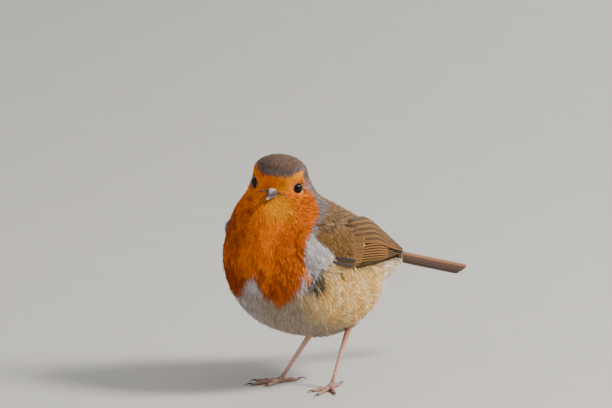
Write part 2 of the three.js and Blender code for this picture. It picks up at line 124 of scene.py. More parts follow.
# ------------------------------------------------------------------ spaces


@dataclass(frozen=True)
class BirdSpace:
    """Millimetres from a point on the floor between the feet."""

    shift: Array

    @classmethod
    def from_frame(cls) -> "BirdSpace":
        """The space, found from the left foot's place in the frame."""
        low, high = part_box("foot_left")
        centre = (np.array(low) + np.array(high)) / (2 * MM)
        return cls(np.array([centre[0] - FEET["left"][0], centre[1] - FEET["left"][1], 0.0]))

    def to_scene(self, points: Array) -> Array:
        """Bird millimetres as scene metres."""
        return (np.asarray(points, FLOAT) + self.shift) * MM

    def from_scene(self, points: Array) -> Array:
        """Scene metres as bird millimetres."""
        return np.asarray(points, FLOAT) / MM - self.shift

    def box(self, node: str) -> tuple[Array, Array]:
        """A node's lowest and highest corners."""
        low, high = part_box(node)
        return self.from_scene(np.array(low)), self.from_scene(np.array(high))

    def centre(self, node: str) -> Array:
        """The middle of a node's box."""
        low, high = self.box(node)
        return (low + high) / 2


SPACE = BirdSpace.from_frame()


@dataclass(frozen=True)
class HeadFrame:
    """The head's own directions: side is the bird's left, then forward, then up."""

    centre: Array
    side: Array
    forward: Array
    up: Array

    EYE_FORWARD = 3.1
    EYE_UP = -1.2

    @classmethod
    def from_frame(cls) -> "HeadFrame":
        """The directions that the two eyes give: the head turns about the upright, then leans."""
        left, right = SPACE.centre("eye_left"), SPACE.centre("eye_right")
        side = unit(left - right)
        level = unit(np.array([side[0], side[1], 0.0]))
        forward = np.array([level[1], -level[0], 0.0])
        up = np.cross(side, -forward)
        centre = (left + right) / 2 - cls.EYE_FORWARD * forward - cls.EYE_UP * up
        return cls(centre, side, forward, up)

    def point(self, side: float, forward: float, up: float) -> Array:
        """A place given in the head's directions."""
        return self.centre + side * self.side + forward * self.forward + up * self.up

    def read(self, points: Array) -> Array:
        """Places as (side, forward, up) from the head's centre."""
        away = points - self.centre
        return np.stack([away @ self.side, away @ self.forward, away @ self.up], -1)


HEAD = HeadFrame.from_frame()
BILL_BASE = HEAD.point(0.0, 9.6, -3.2)


# ------------------------------------------------------------------ modelling tools


def deselect_all() -> None:
    """Leaves object mode with nothing selected."""
    if bpy.context.object is not None and bpy.context.object.mode != "OBJECT":
        bpy.ops.object.mode_set(mode="OBJECT")
    bpy.ops.object.select_all(action="DESELECT")


def make_active(item: Object) -> None:
    """Selects one object alone."""
    deselect_all()
    item.select_set(True)
    bpy.context.view_layer.objects.active = item


def apply_modifier(item: Object, kind: str, **settings: object) -> None:
    """Adds one modifier with its settings and applies it."""
    make_active(item)
    modifier = item.modifiers.new(kind.title(), kind)
    for name, value in settings.items():
        setattr(modifier, name, value)
    bpy.ops.object.modifier_apply(modifier=modifier.name)


def in_edit_mode(item: Object, work: Callable[[], object]) -> None:
    """Runs one edit-mode operation with all of an object's mesh selected."""
    make_active(item)
    bpy.ops.object.mode_set(mode="EDIT")
    bpy.ops.mesh.select_all(action="SELECT")
    work()
    bpy.ops.object.mode_set(mode="OBJECT")


def coordinates(item: Object) -> Array:
    """An object's vertices in bird millimetres."""
    flat = np.empty(len(item.data.vertices) * 3, np.float32)
    item.data.vertices.foreach_get("co", flat)
    return SPACE.from_scene(flat.reshape(-1, 3))


def set_coordinates(item: Object, points: Array) -> None:
    """Moves an object's vertices to places in bird millimetres."""
    item.data.vertices.foreach_set("co", SPACE.to_scene(points).astype(np.float32).ravel())
    item.data.update()


def vertex_normals(item: Object) -> Array:
    """An object's vertex normals."""
    flat = np.empty(len(item.data.vertices) * 3, np.float32)
    item.data.vertex_normals.foreach_get("vector", flat)
    return flat.reshape(-1, 3).astype(FLOAT)


def join(items: Sequence[Object], name: str) -> Object:
    """Several objects as one, under a name."""
    make_active(items[0])
    for item in items:
        item.select_set(True)
    bpy.ops.object.join()
    items[0].name = name
    items[0].data.name = name
    return items[0]


def linked(name: str, data: ID) -> Object:
    """A new object that holds some data, linked to the scene."""
    item = bpy.data.objects.new(name, data)
    bpy.context.scene.collection.objects.link(item)
    return item


def copy_of_node(node: str, grow: float = 0.2) -> Object:
    """A merged copy of a CAD node, swollen a little so that thin cuts between copies close."""
    item = linked(f"copy_{node}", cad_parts[node].data.copy())
    in_edit_mode(item, lambda: bpy.ops.mesh.remove_doubles(threshold=1e-6))
    apply_modifier(item, "DISPLACE", strength=grow * MM, mid_level=0.0)
    return item


def fused(nodes: Sequence[str], name: str, voxel: float, smooth: int) -> Object:
    """CAD nodes melted into one closed smooth form.

    Args:
        nodes: The nodes' names.
        name: The new object's name.
        voxel: The remesh's grain.
        smooth: How many smoothing passes follow it.

    Returns:
        The new object.
    """
    item = join([copy_of_node(node) for node in nodes], name)
    item.data.materials.clear()
    apply_modifier(item, "REMESH", mode="VOXEL", voxel_size=voxel * MM)
    apply_modifier(item, "SMOOTH", factor=0.5, iterations=smooth)
    return item


def ring_tube(name: str, rings: Sequence[Array]) -> Object:
    """A closed tube, extruded from a circle ring by ring.

    Args:
        name: The object's name.
        rings: Each ring's places in bird millimetres, all of one length.

    Returns:
        The tube.
    """
    deselect_all()
    bpy.ops.mesh.primitive_circle_add(vertices=len(rings[0]), radius=MM, fill_type="NGON")
    item = bpy.context.object
    item.name = name
    scene_rings = [SPACE.to_scene(ring) for ring in rings]
    start = np.array([vertex.co for vertex in item.data.vertices])
    bpy.ops.object.mode_set(mode="EDIT")
    for index, ring in enumerate(scene_rings):
        if index:
            bpy.ops.mesh.extrude_region_move()
        before = scene_rings[index - 1] if index else start
        mesh = bmesh.from_edit_mesh(item.data)
        for vertex in [vertex for vertex in mesh.verts if vertex.select]:
            nearest = np.argmin(np.linalg.norm(before - np.array(vertex.co), axis=1))
            vertex.co = ring[nearest]
        bmesh.update_edit_mesh(item.data)
    bpy.ops.mesh.select_all(action="SELECT")
    bpy.ops.mesh.normals_make_consistent(inside=False)
    bpy.ops.object.mode_set(mode="OBJECT")
    return item


def round_rings(path: Array, radii: Array, sides: int, flatten: float = 1.0) -> list[Array]:
    """Rings square to a path, flattened a little from top to bottom if asked."""
    tangents = unit(np.gradient(path, axis=0))
    rings = []
    for place, tangent, radius in zip(path, tangents, radii):
        across = unit(np.cross([0.0, 0.0, 1.0], tangent) + np.array([1e-6, 0, 0]))
        up = np.cross(tangent, across)
        angle = 2 * np.pi * np.arange(sides) / sides
        circle = np.cos(angle)[:, None] * across + flatten * np.sin(angle)[:, None] * up
        rings.append(place + radius * circle)
    return rings


def smooth_shade(item: Object) -> None:
    """Shades every face smooth."""
    item.data.polygons.foreach_set("use_smooth", np.ones(len(item.data.polygons), bool))
    item.data.update()


def float_attribute(item: Object, name: str, values: Array) -> None:
    """Stores one number for each vertex."""
    layer = item.data.attributes.new(name, "FLOAT", "POINT")
    layer.data.foreach_set("value", np.asarray(values, np.float32))


def colour_attribute(item: Object, name: str, colours: Array) -> None:
    """Stores one linear colour for each vertex."""
    layer = item.data.attributes.new(name, "FLOAT_COLOR", "POINT")
    full = np.concatenate([np.clip(colours, 0, 1), np.ones((len(colours), 1))], 1)
    layer.data.foreach_set("color", full.astype(np.float32).ravel())


class Surface:
    """A closed form that can be asked for its nearest places and for where rays meet it."""

    def __init__(self, item: Object) -> None:
        points = coordinates(item)
        normals = vertex_normals(item)
        corners = [tuple(polygon.vertices) for polygon in item.data.polygons]
        self.tree = BVHTree.FromPolygons([Vector(point) for point in points], corners)
        self.face_normals = unit(np.array([normals[list(corner)].mean(0) for corner in corners]))

    def nearest(self, points: Array) -> tuple[Array, Array]:
        """The nearest place on the surface to each point, with the soft normal there."""
        found = np.empty((len(points), 3))
        faces = np.empty(len(points), int)
        for row, point in enumerate(points):
            place, _, face, _ = self.tree.find_nearest(point)
            found[row] = place
            faces[row] = face
        return found, self.face_normals[faces]

    def meets(self, origins: Array, directions: Array, reach: float) -> Array:
        """Whether each ray meets the surface within a distance."""
        cast = self.tree.ray_cast
        return np.array([cast(o, d, reach)[0] is not None for o, d in zip(origins, directions)], bool)

    def outermost(self, origins: Array, directions: Array) -> Array:
        """Where rays from far outside first meet the surface, seen back along each direction."""
        far = 90.0
        places = np.empty((len(origins), 3))
        for row, (origin, direction) in enumerate(zip(origins, directions)):
            hit = self.tree.ray_cast(Vector(origin + far * direction), Vector(-direction))[0]
            places[row] = origin if hit is None else hit
        return places


OUTLINE: dict[str, Surface] = {}


def mesh_from_arrays(name: str, points: Array, quads: Array, tris: Array) -> Object:
    """An object from plain arrays.

    Args:
        name: The object's name.
        points: Vertices in bird millimetres, (n, 3).
        quads: Four-sided faces, (q, 4).
        tris: Three-sided faces, (t, 3).

    Returns:
        The object, linked to the scene.
    """
    mesh = bpy.data.meshes.new(name)
    mesh.vertices.add(len(points))
    mesh.vertices.foreach_set("co", SPACE.to_scene(points).astype(np.float32).ravel())
    corners = np.concatenate([quads.ravel(), tris.ravel()]).astype(np.int32)
    starts = np.concatenate([np.arange(len(quads)) * 4, len(quads) * 4 + np.arange(len(tris)) * 3])
    mesh.loops.add(len(corners))
    mesh.loops.foreach_set("vertex_index", corners)
    mesh.polygons.add(len(starts))
    mesh.polygons.foreach_set("loop_start", starts.astype(np.int32))
    mesh.update(calc_edges=True)
    return linked(name, mesh)


def corner_map(item: Object, name: str, places: Array) -> None:
    """Stores a UV map that is given for each vertex."""
    mesh = item.data
    corners = np.empty(len(mesh.loops), np.int32)
    mesh.loops.foreach_get("vertex_index", corners)
    layer = mesh.uv_layers.new(name=name)
    layer.data.foreach_set("uv", places[corners].astype(np.float32).ravel())


# ------------------------------------------------------------------ plumage: markings, lie and length


def paint(code: str) -> Array:
    """A hex colour as linear red, green and blue."""
    values = np.array([int(code[k:k + 2], 16) for k in (1, 3, 5)]) / 255
    return np.where(values <= 0.04045, values / 12.92, ((values + 0.055) / 1.055) ** 2.4)


def tint(code: str) -> Array:
    """A dataclass field that holds a colour code as a linear colour."""
    return field(default_factory=lambda: paint(code))


@dataclass(frozen=True)
class Markings:
    """The robin's colours, with some painted light and shade, as a function of place, which skin and coat
    share.
    """

    orange: Array = tint("#ff8700")
    orange_deep: Array = tint("#a64600")
    orange_highlight: Array = tint("#ffae02")
    slate: Array = tint("#d0c6c7")
    lilac: Array = tint("#c0b4b1")
    slate_dark: Array = tint("#82787a")
    olive: Array = tint("#86694a")
    wing_brown: Array = tint("#805d33")
    crown: Array = tint("#6c5341")
    crown_grey: Array = tint("#6e6464")
    # The belly's white, darkened as painted shade for the underside turned away from the lamps.
    white: Array = tint("#ab9a88")
    buff: Array = tint("#e6b25c")
    pale: Array = tint("#f4dca6")
    cream: Array = tint("#eedbb9")
    rufous: Array = tint("#7d5a37")
    under: Array = tint("#433e3d")
    ring: Array = tint("#e8b868")
    dark_wrist: Array = tint("#7f7b84")

    FOREHEAD = ((0.0, 4.1), (5.6, 4.1), (7.3, 4.8), (8.6, 5.6), (9.7, 6.2), (12.0, 6.9))
    CHEEK = (
        (-8.6, 3.4), (-6.7, 0.7), (-5.2, -1.7), (-3.4, -2.2), (-1.5, 0.0), (0.9, 0.2), (3.2, 0.8),
        (5.8, 1.1), (6.7, 0.3),
    )
    BREAST = (
        (40.0, 34.0), (43.0, 44.0), (47.5, 52.5), (54.0, 56.0), (64.0, 56.7), (68.3, 59.4),
        (70.2, 61.8), (72.0, 65.1), (75.5, 69.6), (77.0, 71.0), (84.0, 69.5),
    )
    HEM = (
        (-60.0, 50.0), (-40.0, 45.0), (-28.7, 42.0), (-8.0, 41.7), (0.0, 45.0), (6.7, 48.8),
        (13.9, 52.5), (18.0, 50.0), (22.0, 43.5), (34.2, 39.9), (43.8, 42.8), (52.5, 47.3), (55.0, 51.0),
    )
    GREY_WIDTH = (
        (44.0, 3.0), (48.0, 5.0), (52.0, 7.0), (57.0, 11.0), (61.0, 15.0), (72.0, 15.0), (80.0, 5.0),
    )
    NAPE_WIDTH = 4.6
    SHOULDER = (
        (55.0, -6.0), (58.0, -8.2), (61.0, -9.0), (63.4, -10.8), (65.8, -14.0), (68.1, -16.3),
        (70.0, -16.1), (72.0, -14.5), (75.0, -9.0), (78.0, -3.0), (80.4, 3.0),
    )
    BACK_LINE = (
        (-30.0, 55.5), (-8.0, 55.5), (3.0, 53.2), (15.0, 52.7), (27.0, 51.5), (40.0, 50.0), (50.0, 49.0),
    )
    # Centre and size of the painted highlight on the throat, in the head's measures.
    THROAT = (4.2, 13.8, -8.4)
    THROAT_HIGHLIGHT_SIZE = (6.6, 6.0, 7.2)
    RUFFLE = (25.2, -16.0, 48.8)
    RUFFLE_SIZE = (6.5, 5.0, 4.6)
    STRAYS = ((24.7, -21.3, 54.5), (25.3, -19.8, 51.6), (25.0, -20.4, 49.4))
    WRIST = (-26.1, -22.7, 66.5)
    WRIST_SIZE = (4.0, 4.4, 9.5)

    def margins(self, points: Array) -> tuple[Array, Array, Array]:
        """How far places lie inside the bib, inside its side edges alone, and behind the grey band."""
        side, forward, up = HEAD.read(points).T
        brow = along_line(np.abs(side), self.FOREHEAD) - up
        cheek = forward - along_line(up, self.CHEEK)
        x, y, z = points.T
        radius = np.hypot(x, y + 6.0)
        bearing = np.degrees(np.arctan2(x, -(y + 6.0)))
        turned = 26.0 * smoothstep(72.0, 86.0, z)
        edge = np.radians(along_line(z, self.BREAST) - np.abs(bearing - turned)) * radius
        hem = z - along_line(bearing, self.HEM)
        in_head = smoothstep(-9.0, -5.0, up)
        sides = lerp(edge, cheek, in_head)
        whole = lerp(np.minimum(edge, hem), np.minimum(cheek, brow), in_head)
        shoulder = y - along_line(z, self.SHOULDER)
        back = lerp(shoulder, -cheek - self.NAPE_WIDTH, in_head)
        return whole, sides, np.minimum(back, z - along_line(y, self.BACK_LINE))

    def bib(self, points: Array) -> Array:
        """The orange of face and breast, with a painted highlight on the throat and painted shade low down.

        Args:
            points: Places in bird millimetres, (n, 3).

        Returns:
            Linear colours, (n, 3).
        """
        x, _, z = points.T
        side, _, up = HEAD.read(points).T
        from_bill = np.linalg.norm(points - BILL_BASE, axis=1)
        blotches = 0.3 * waves(points * (1, 1, 0.45), 7.0, 7) + 0.2 * waves(points * (1, 1, 0.3), 2.6, 9)
        # Painted light and shade on the bib: paler on the near side that faces the key lamp, deeper low on
        # the breast and on the far side.
        sunny_side = 0.4 * smoothstep(6.0, 20.0, x) * smoothstep(84.0, 78.0, z)
        low = 0.8 * smoothstep(60.0, 44.0, z)
        far_side_shade = 0.5 * smoothstep(14.0, -10.0, x) * smoothstep(88.0, 76.0, z)
        deep = 0.2 + blotches - sunny_side + low + far_side_shade
        # Painted highlight: a pale yellow pool on the throat where the lamp falls, broken up by streaks.
        throat = np.linalg.norm((points - HEAD.point(*self.THROAT)) / self.THROAT_HIGHLIGHT_SIZE, axis=1)
        streak = 0.38 * waves(points * (1, 1, 0.35), 1.5, 31)
        light = 0.92 * (1.0 - smoothstep(0.35, 1.45, throat + streak))
        # Painted highlights on the near, lamp-lit side of the face: on the brow and in a band between the eye
        # and the bill.
        brow = 0.6 * smoothstep(5.0, 8.0, side) * smoothstep(1.2, 3.4, up + 0.6 * streak)
        middle = 0.5 * smoothstep(0.4, 2.4, side) * smoothstep(7.6, 5.6, side) * smoothstep(-4.5, -1.0, up)
        light = np.maximum(light, np.maximum(brow, middle))
        # Painted shade on the near cheek, which holds down the key lamp's glare there.
        cheek = 0.6 * smoothstep(5.5, 8.0, side) * smoothstep(-2.5, -5.5, up)
        # Darker rufous round the bill's base, the bird's own colour, kept to the far side as painted shade.
        lores_and_far_shade = 0.35 * (1.0 - smoothstep(2.0, 4.6, from_bill)) * smoothstep(3.0, -1.0, side)
        deep = np.clip(np.maximum(deep, 0.3 * deep + lores_and_far_shade + cheek), 0, 1)[:, None]
        orange = lerp(self.orange, self.orange_deep, deep)
        return lerp(orange, self.orange_highlight, np.clip(light, 0, 1)[:, None])

    def belly(self, points: Array) -> Array:
        """The underside: a white dimmed by painted shade in the middle, buff flanks and cream under the tail.
        """
        x, y, z = points.T
        patchy = 0.5 + 0.5 * waves(points, 8.0, 12)
        gold = blend(self.buff, self.pale, 0.85 * patchy)
        white = blend(self.white, self.lilac, smoothstep(4.0, -14.0, x + 0.3 * y))
        flank = smoothstep(-3.0, 9.0, np.abs(x) - 12.0 + 0.35 * y) * smoothstep(22.0, 33.0, z)
        return blend(blend(white, gold, flank), self.cream, smoothstep(27.0, 34.0, y + 0.25 * (52.0 - z)))

    def upper_side(self, points: Array) -> Array:
        """The brown of the back: olive above, warmer by the wing and rufous on the rump."""
        _, y, z = points.T
        brown = blend(self.olive, self.wing_brown, smoothstep(72.0, 66.0, z + 0.15 * y))
        return blend(brown, self.rufous, smoothstep(34.0, 44.0, y))

    def cap(self, points: Array, inside_bib: Array) -> tuple[Array, Array]:
        """The crown's streaked brown with its grey rim, and how far each place lies in it."""
        side, forward, up = HEAD.read(points).T
        share = smoothstep(0.5, 3.0, up + 0.35 * smoothstep(6.0, 2.0, np.abs(side)) * (forward + 8.0))
        streak = 0.5 + 0.5 * waves(np.stack([side * 2.2, forward * 0.5, up], -1), 3.4, 3)
        rim = np.maximum(0.45 * streak, smoothstep(-3.2, -0.8, inside_bib))
        return blend(self.crown, self.crown_grey, rim), share

    def with_marks(self, colour: Array, points: Array) -> Array:
        """Adds the dark wrist, the stray orange feathers and the pale rings under the eyes."""
        wrist = np.linalg.norm((points - self.WRIST) / self.WRIST_SIZE, axis=1) + 0.2 * waves(points, 2.4, 43)
        colour = blend(colour, self.dark_wrist, 1.0 - smoothstep(0.8, 1.3, wrist))
        for stray in self.STRAYS:
            near = np.linalg.norm(points - stray, axis=1)
            colour = blend(colour, self.orange, 1.0 - smoothstep(0.9, 1.9, near))
        for name in SIDES:
            away = points - SPACE.centre(f"eye_{name}")
            near = np.linalg.norm(away, axis=1)
            close = (1.0 - smoothstep(2.9, 3.3, near)) * smoothstep(0.1, 0.3, unit(away) @ gaze(name))
            low = smoothstep(2.2, -0.6, away @ HEAD.up)
            rear = smoothstep(1.6, 0.2, away @ HEAD.forward)
            colour = blend(colour, self.ring, 0.7 * low * rear * close)
        return colour

    def colour(self, points: Array) -> Array:
        """The plumage colour at each place.

        Args:
            points: Places in bird millimetres, (n, 3).

        Returns:
            Linear colours, (n, 3).
        """
        z = points[:, 2]
        whole, sides, back = self.margins(points)
        grey = smoothstep(-1.3, -0.8, sides / along_line(z, self.GREY_WIDTH)) * smoothstep(43.0, 48.0, z)
        grey = np.maximum(grey, smoothstep(62.0, 67.0, z))
        slate = blend(self.slate, self.slate_dark, smoothstep(66.0, 76.0, z))
        colour = blend(self.belly(points), slate, grey)
        colour = blend(colour, self.upper_side(points), smoothstep(-0.7, 0.7, back))
        colour = blend(colour, *self.cap(points, whole))
        ruffle = np.linalg.norm((points - self.RUFFLE) / self.RUFFLE_SIZE, axis=1)
        ruffle = ruffle + 0.3 * waves(points, 2.6, 5) + 0.4 * waves(points * (1, 1, 0.4), 1.0, 6)
        colour = blend(colour, self.under, 0.92 * (1.0 - smoothstep(0.7, 1.2, ruffle)))
        soft = 1.5 * smoothstep(58.0, 50.0, z)
        ragged = whole + soft * 0.7 * waves(points * (1, 1, 0.5), 1.8, 41)
        colour = blend(colour, self.bib(points), (ragged + 0.4 + soft) / (0.8 + 1.6 * soft))
        return self.with_marks(colour, points)


MARKINGS = Markings()
ANKLES = {"left": (11.3, 13.2, 26.2), "right": (-4.1, 6.0, 22.2)}


def lie_of_coat(points: Array, normals: Array) -> Array:
    """The way the feathers point: away from the bill, and along the body further back."""
    away = unit(points - BILL_BASE)
    below_head = smoothstep(-3.0, -9.0, HEAD.read(points)[:, 2])
    drift = 1.1 * smoothstep(-22.0, 14.0, points[:, 1]) * below_head
    way = away + drift[:, None] * np.array([0.0, 1.0, -0.22])
    return unit(way - normals * np.sum(way * normals, 1, keepdims=True))


def gaze(side: str) -> Array:
    """The way an eye looks: sideways and well forward."""
    return unit(HEAD.side * SIDES[side] * 0.82 + HEAD.forward * 0.57 + HEAD.up * 0.05)


def bareness(points: Array) -> Array:
    """Shortens the coat near the ankles: 0 at the joint, 1 well above it."""
    near = np.min([np.linalg.norm(points - ankle, axis=1) for ankle in ANKLES.values()], axis=0)
    return smoothstep(-1.0, 10.0, near)


@dataclass(frozen=True)
class CoatMeasure:
    """How the coat's measures grow with distance from the bill."""

    depth: tuple = ((0, 0.35), (4, 0.45), (9, 0.8), (16, 1.2), (28, 1.9), (60, 2.1))
    length: tuple = ((0, 1.1), (4, 1.7), (9, 2.7), (16, 4.0), (28, 6.0), (60, 7.0))
    blade: tuple = ((0, 0.11), (9, 0.16), (20, 0.24), (40, 0.28))

    def at(self, points: Array, stops: tuple) -> Array:
        """One measure at each place, shorter near the ankles."""
        away = np.linalg.norm(points - BILL_BASE, axis=1)
        return along_line(away, stops) * (0.35 + 0.65 * bareness(points))


MEASURE = CoatMeasure()


# ------------------------------------------------------------------ finishes


class Sheet:
    """A node tree that is written as calls."""

    def __init__(self, tree: NodeTree) -> None:
        self.tree = tree

    def add(self, kind: str, sockets: dict | None = None, **settings: object) -> Node:
        """Adds a node.

        Args:
            kind: The node's type name, without ShaderNode.
            sockets: Values or output sockets for its inputs, by name or number.
            settings: Attributes of the node.

        Returns:
            The node.
        """
        node = self.tree.nodes.new(kind if kind.startswith("NodeGroup") else f"ShaderNode{kind}")
        for name, value in settings.items():
            setattr(node, name, value)
        for name, value in (sockets or {}).items():
            self.feed(node, name, value)
        return node

    def feed(self, node: Node, name: str | int, value: object) -> None:
        """Links an output to a node's input, or sets the input's value."""
        if isinstance(value, NodeSocket):
            self.tree.links.new(value, node.inputs[name])
        else:
            node.inputs[name].default_value = value

    def math(self, operation: str, *values: object) -> NodeSocket:
        """One Math node's output."""
        return self.add("Math", dict(enumerate(values)), operation=operation).outputs[0]

    def ramp(self, value: object, low: float, high: float) -> NodeSocket:
        """A soft ramp from 0 at low to 1 at high."""
        sockets = {"Value": value, "From Min": low, "From Max": high}
        return self.add("MapRange", sockets, interpolation_type="SMOOTHSTEP").outputs["Result"]

    def mix(self, share: object, one: object, other: object, blend: str = "MIX") -> NodeSocket:
        """A colour mix's output."""
        node = self.add("Mix", data_type="RGBA", blend_type=blend)
        for index, value in ((0, share), (6, one), (7, other)):
            self.feed(node, index, value)
        return node.outputs[2]

    def read(self, name: str) -> Node:
        """An attribute of the mesh."""
        return self.add("Attribute", attribute_name=name)

    def object_place(self, scale: tuple[float, float, float] = (1.0, 1.0, 1.0)) -> NodeSocket:
        """Object coordinates, scaled."""
        place = self.add("TexCoord").outputs["Object"]
        return self.add("Mapping", {"Vector": place, "Scale": scale}).outputs["Vector"]


def solid(code: str) -> tuple[float, float, float, float]:
    """A colour code as a linear colour with an alpha of one."""
    red, green, blue = paint(code)
    return (float(red), float(green), float(blue), 1.0)


def new_group(name: str, inputs: dict[str, object], outputs: dict[str, str]) -> tuple:
    """A shader node group.

    Args:
        name: The group's name.
        inputs: Each input's default: a number or a colour.
        outputs: Each output's socket type.

    Returns:
        The group's tree, a Sheet on it, its input node and its output node.
    """
    tree = bpy.data.node_groups.new(name, "ShaderNodeTree")
    for label, value in inputs.items():
        kind = "NodeSocketFloat" if isinstance(value, float) else "NodeSocketColor"
        socket = tree.interface.new_socket(label, in_out="INPUT", socket_type=kind)
        socket.default_value = value
    for label, kind in outputs.items():
        tree.interface.new_socket(label, in_out="OUTPUT", socket_type=kind)
    sheet = Sheet(tree)
    return tree, sheet, sheet.add("NodeGroupInput"), sheet.add("NodeGroupOutput")


def mottle_group() -> NodeTree:
    """Small variation in colour and height: Color in, Color and Height out."""
    tree, sheet, given, result = new_group(
        "mottle",
        {"Color": (0.5, 0.5, 0.5, 1.0), "Grain": 900.0, "Strength": 0.2},
        {"Color": "NodeSocketColor", "Height": "NodeSocketFloat"},
    )
    place = sheet.object_place()
    noise = sheet.add("TexNoise", {"Vector": place, "Scale": given.outputs["Grain"], "Detail": 3.0})
    centred = sheet.math("SUBTRACT", noise.outputs[0], 0.5)
    gain = sheet.math("ADD", sheet.math("MULTIPLY", centred, given.outputs["Strength"]), 1.0)
    shade = sheet.add("CombineColor", {0: gain, 1: gain, 2: gain}).outputs[0]
    colour = sheet.mix(1.0, given.outputs["Color"], shade, "MULTIPLY")
    sheet.feed(result, "Color", colour)
    sheet.feed(result, "Height", noise.outputs[0])
    return tree


def vane_group() -> NodeTree:
    """A vane's pattern from its own along and across: web, fringe, shaft, barbs and tip."""
    colour = (0.2, 0.15, 0.1, 1.0)
    tree, sheet, given, result = new_group(
        "vane_pattern",
        {"Web": colour, "Fringe": colour, "Shaft": colour, "Tip": colour,
         "Fringe From": 0.5, "Fringe To": 0.8, "Tip From": 2.0},
        {"Color": "NodeSocketColor", "Height": "NodeSocketFloat"},
    )
    along, across = sheet.read("along").outputs["Fac"], sheet.read("across").outputs["Fac"]
    barb, tint = sheet.read("barb").outputs["Fac"], sheet.read("tint").outputs["Fac"]
    width = sheet.math("ABSOLUTE", across)
    comb = sheet.math("SINE", sheet.math("MULTIPLY", barb, 2 * math.pi / 0.34))
    fringe = sheet.add("MapRange", {
        "Value": across, "From Min": given.outputs["Fringe From"], "From Max": given.outputs["Fringe To"],
    }, interpolation_type="SMOOTHSTEP").outputs["Result"]
    base = sheet.mix(fringe, given.outputs["Web"], given.outputs["Fringe"])
    rim = sheet.math("MULTIPLY", sheet.ramp(width, 0.86, 0.98), 0.45)
    base = sheet.mix(rim, base, given.outputs["Fringe"])
    tip = sheet.math("GREATER_THAN", sheet.math("ADD", along, sheet.math("MULTIPLY", across, 0.05)),
                     given.outputs["Tip From"])
    tip = sheet.math("MULTIPLY", tip, sheet.read("spot").outputs["Fac"])
    base = sheet.mix(tip, base, given.outputs["Tip"])
    shaft = sheet.math("SUBTRACT", 1.0, sheet.ramp(width, 0.04, 0.09))
    base = sheet.mix(sheet.math("MULTIPLY", shaft, 0.8), base, given.outputs["Shaft"])
    gain = sheet.math("MULTIPLY", tint, sheet.math("ADD", sheet.math("MULTIPLY", comb, 0.07), 1.0))
    shade = sheet.add("CombineColor", {0: gain, 1: gain, 2: gain}).outputs[0]
    sheet.feed(result, "Color", sheet.mix(1.0, base, shade, "MULTIPLY"))
    height = sheet.math("ADD", sheet.math("MULTIPLY", comb, 0.3), shaft)
    sheet.feed(result, "Height", height)
    return tree


class Groups:
    """The shared node groups, each built once."""

    built: dict[str, NodeTree] = {}
    makers = {"mottle": mottle_group, "vane_pattern": vane_group}

    @classmethod
    def place(cls, sheet: Sheet, name: str, sockets: dict) -> Node:
        """Puts a group in a material with its own values."""
        if name not in cls.built:
            cls.built[name] = cls.makers[name]()
        node = sheet.tree.nodes.new("ShaderNodeGroup")
        node.node_tree = cls.built[name]
        for label, value in sockets.items():
            sheet.feed(node, label, value)
        return node


def new_material(name: str, **constants: float) -> tuple[Material, Sheet, Node]:
    """A material with one Principled BSDF, its constants set on its own sockets."""
    material = bpy.data.materials.new(name)
    material.use_nodes = True
    sheet = Sheet(material.node_tree)
    shader = material.node_tree.nodes["Principled BSDF"]
    for label, value in constants.items():
        shader.inputs[label.replace("_", " ")].default_value = value
    return material, sheet, shader


def add_bump(sheet: Sheet, shader: Node, height: object, strength: float, distance: float) -> None:
    """Feeds a height to a shader's normal."""
    bump = sheet.add("Bump", {"Height": height, "Strength": strength, "Distance": distance})
    sheet.feed(shader, "Normal", bump.outputs[0])


@dataclass(frozen=True)
class CoatFinish:
    """Soft feather: the tuft's stored colour, painted shade and highlight included, a little mottled."""

    name: str = "plumage"
    roughness: float = 0.78
    specular: float = 0.18

    def make(self) -> Material:
        """Builds the material."""
        material, sheet, shader = new_material(
            self.name, Roughness=self.roughness, Specular_IOR_Level=self.specular)
        mottle = Groups.place(sheet, "mottle", {
            "Color": sheet.read("plumage").outputs["Color"], "Grain": 1400.0, "Strength": 0.35})
        sheet.feed(shader, "Base Color", mottle.outputs["Color"])
        return material


@dataclass(frozen=True)
class SkinFinish:
    """Feather-coloured skin under the coat, and horny bare skin on the legs, toes, lids and gape."""

    name: str = "robin_skin"
    scute: float = 1.5  # millimetres from one leg scale to the next

    def make(self) -> Material:
        """Builds the material."""
        material, sheet, shader = new_material(self.name, Specular_IOR_Level=0.35)
        bare = sheet.read("bare").outputs["Fac"]
        run = sheet.read("run").outputs["Fac"]
        mottle = Groups.place(sheet, "mottle", {
            "Color": sheet.read("plumage").outputs["Color"], "Grain": 1600.0, "Strength": 0.45})
        step = sheet.math("FRACT", sheet.math("DIVIDE", run, self.scute))
        groove = sheet.math("MULTIPLY", sheet.math("SUBTRACT", 1.0, sheet.ramp(step, 0.0, 0.16)), bare)
        share = sheet.math("MULTIPLY", groove, 0.45)
        colour = sheet.mix(share, mottle.outputs["Color"], solid("#4a2c22"))
        sheet.feed(shader, "Base Color", colour)
        rough = sheet.math("SUBTRACT", 0.85, sheet.math("MULTIPLY", bare, 0.42))
        sheet.feed(shader, "Roughness", rough)
        fine = sheet.math("MULTIPLY", mottle.outputs["Height"], 0.25)
        height = sheet.math("SUBTRACT", fine, groove)
        add_bump(sheet, shader, height, 0.5, 0.12 * MM)
        return material


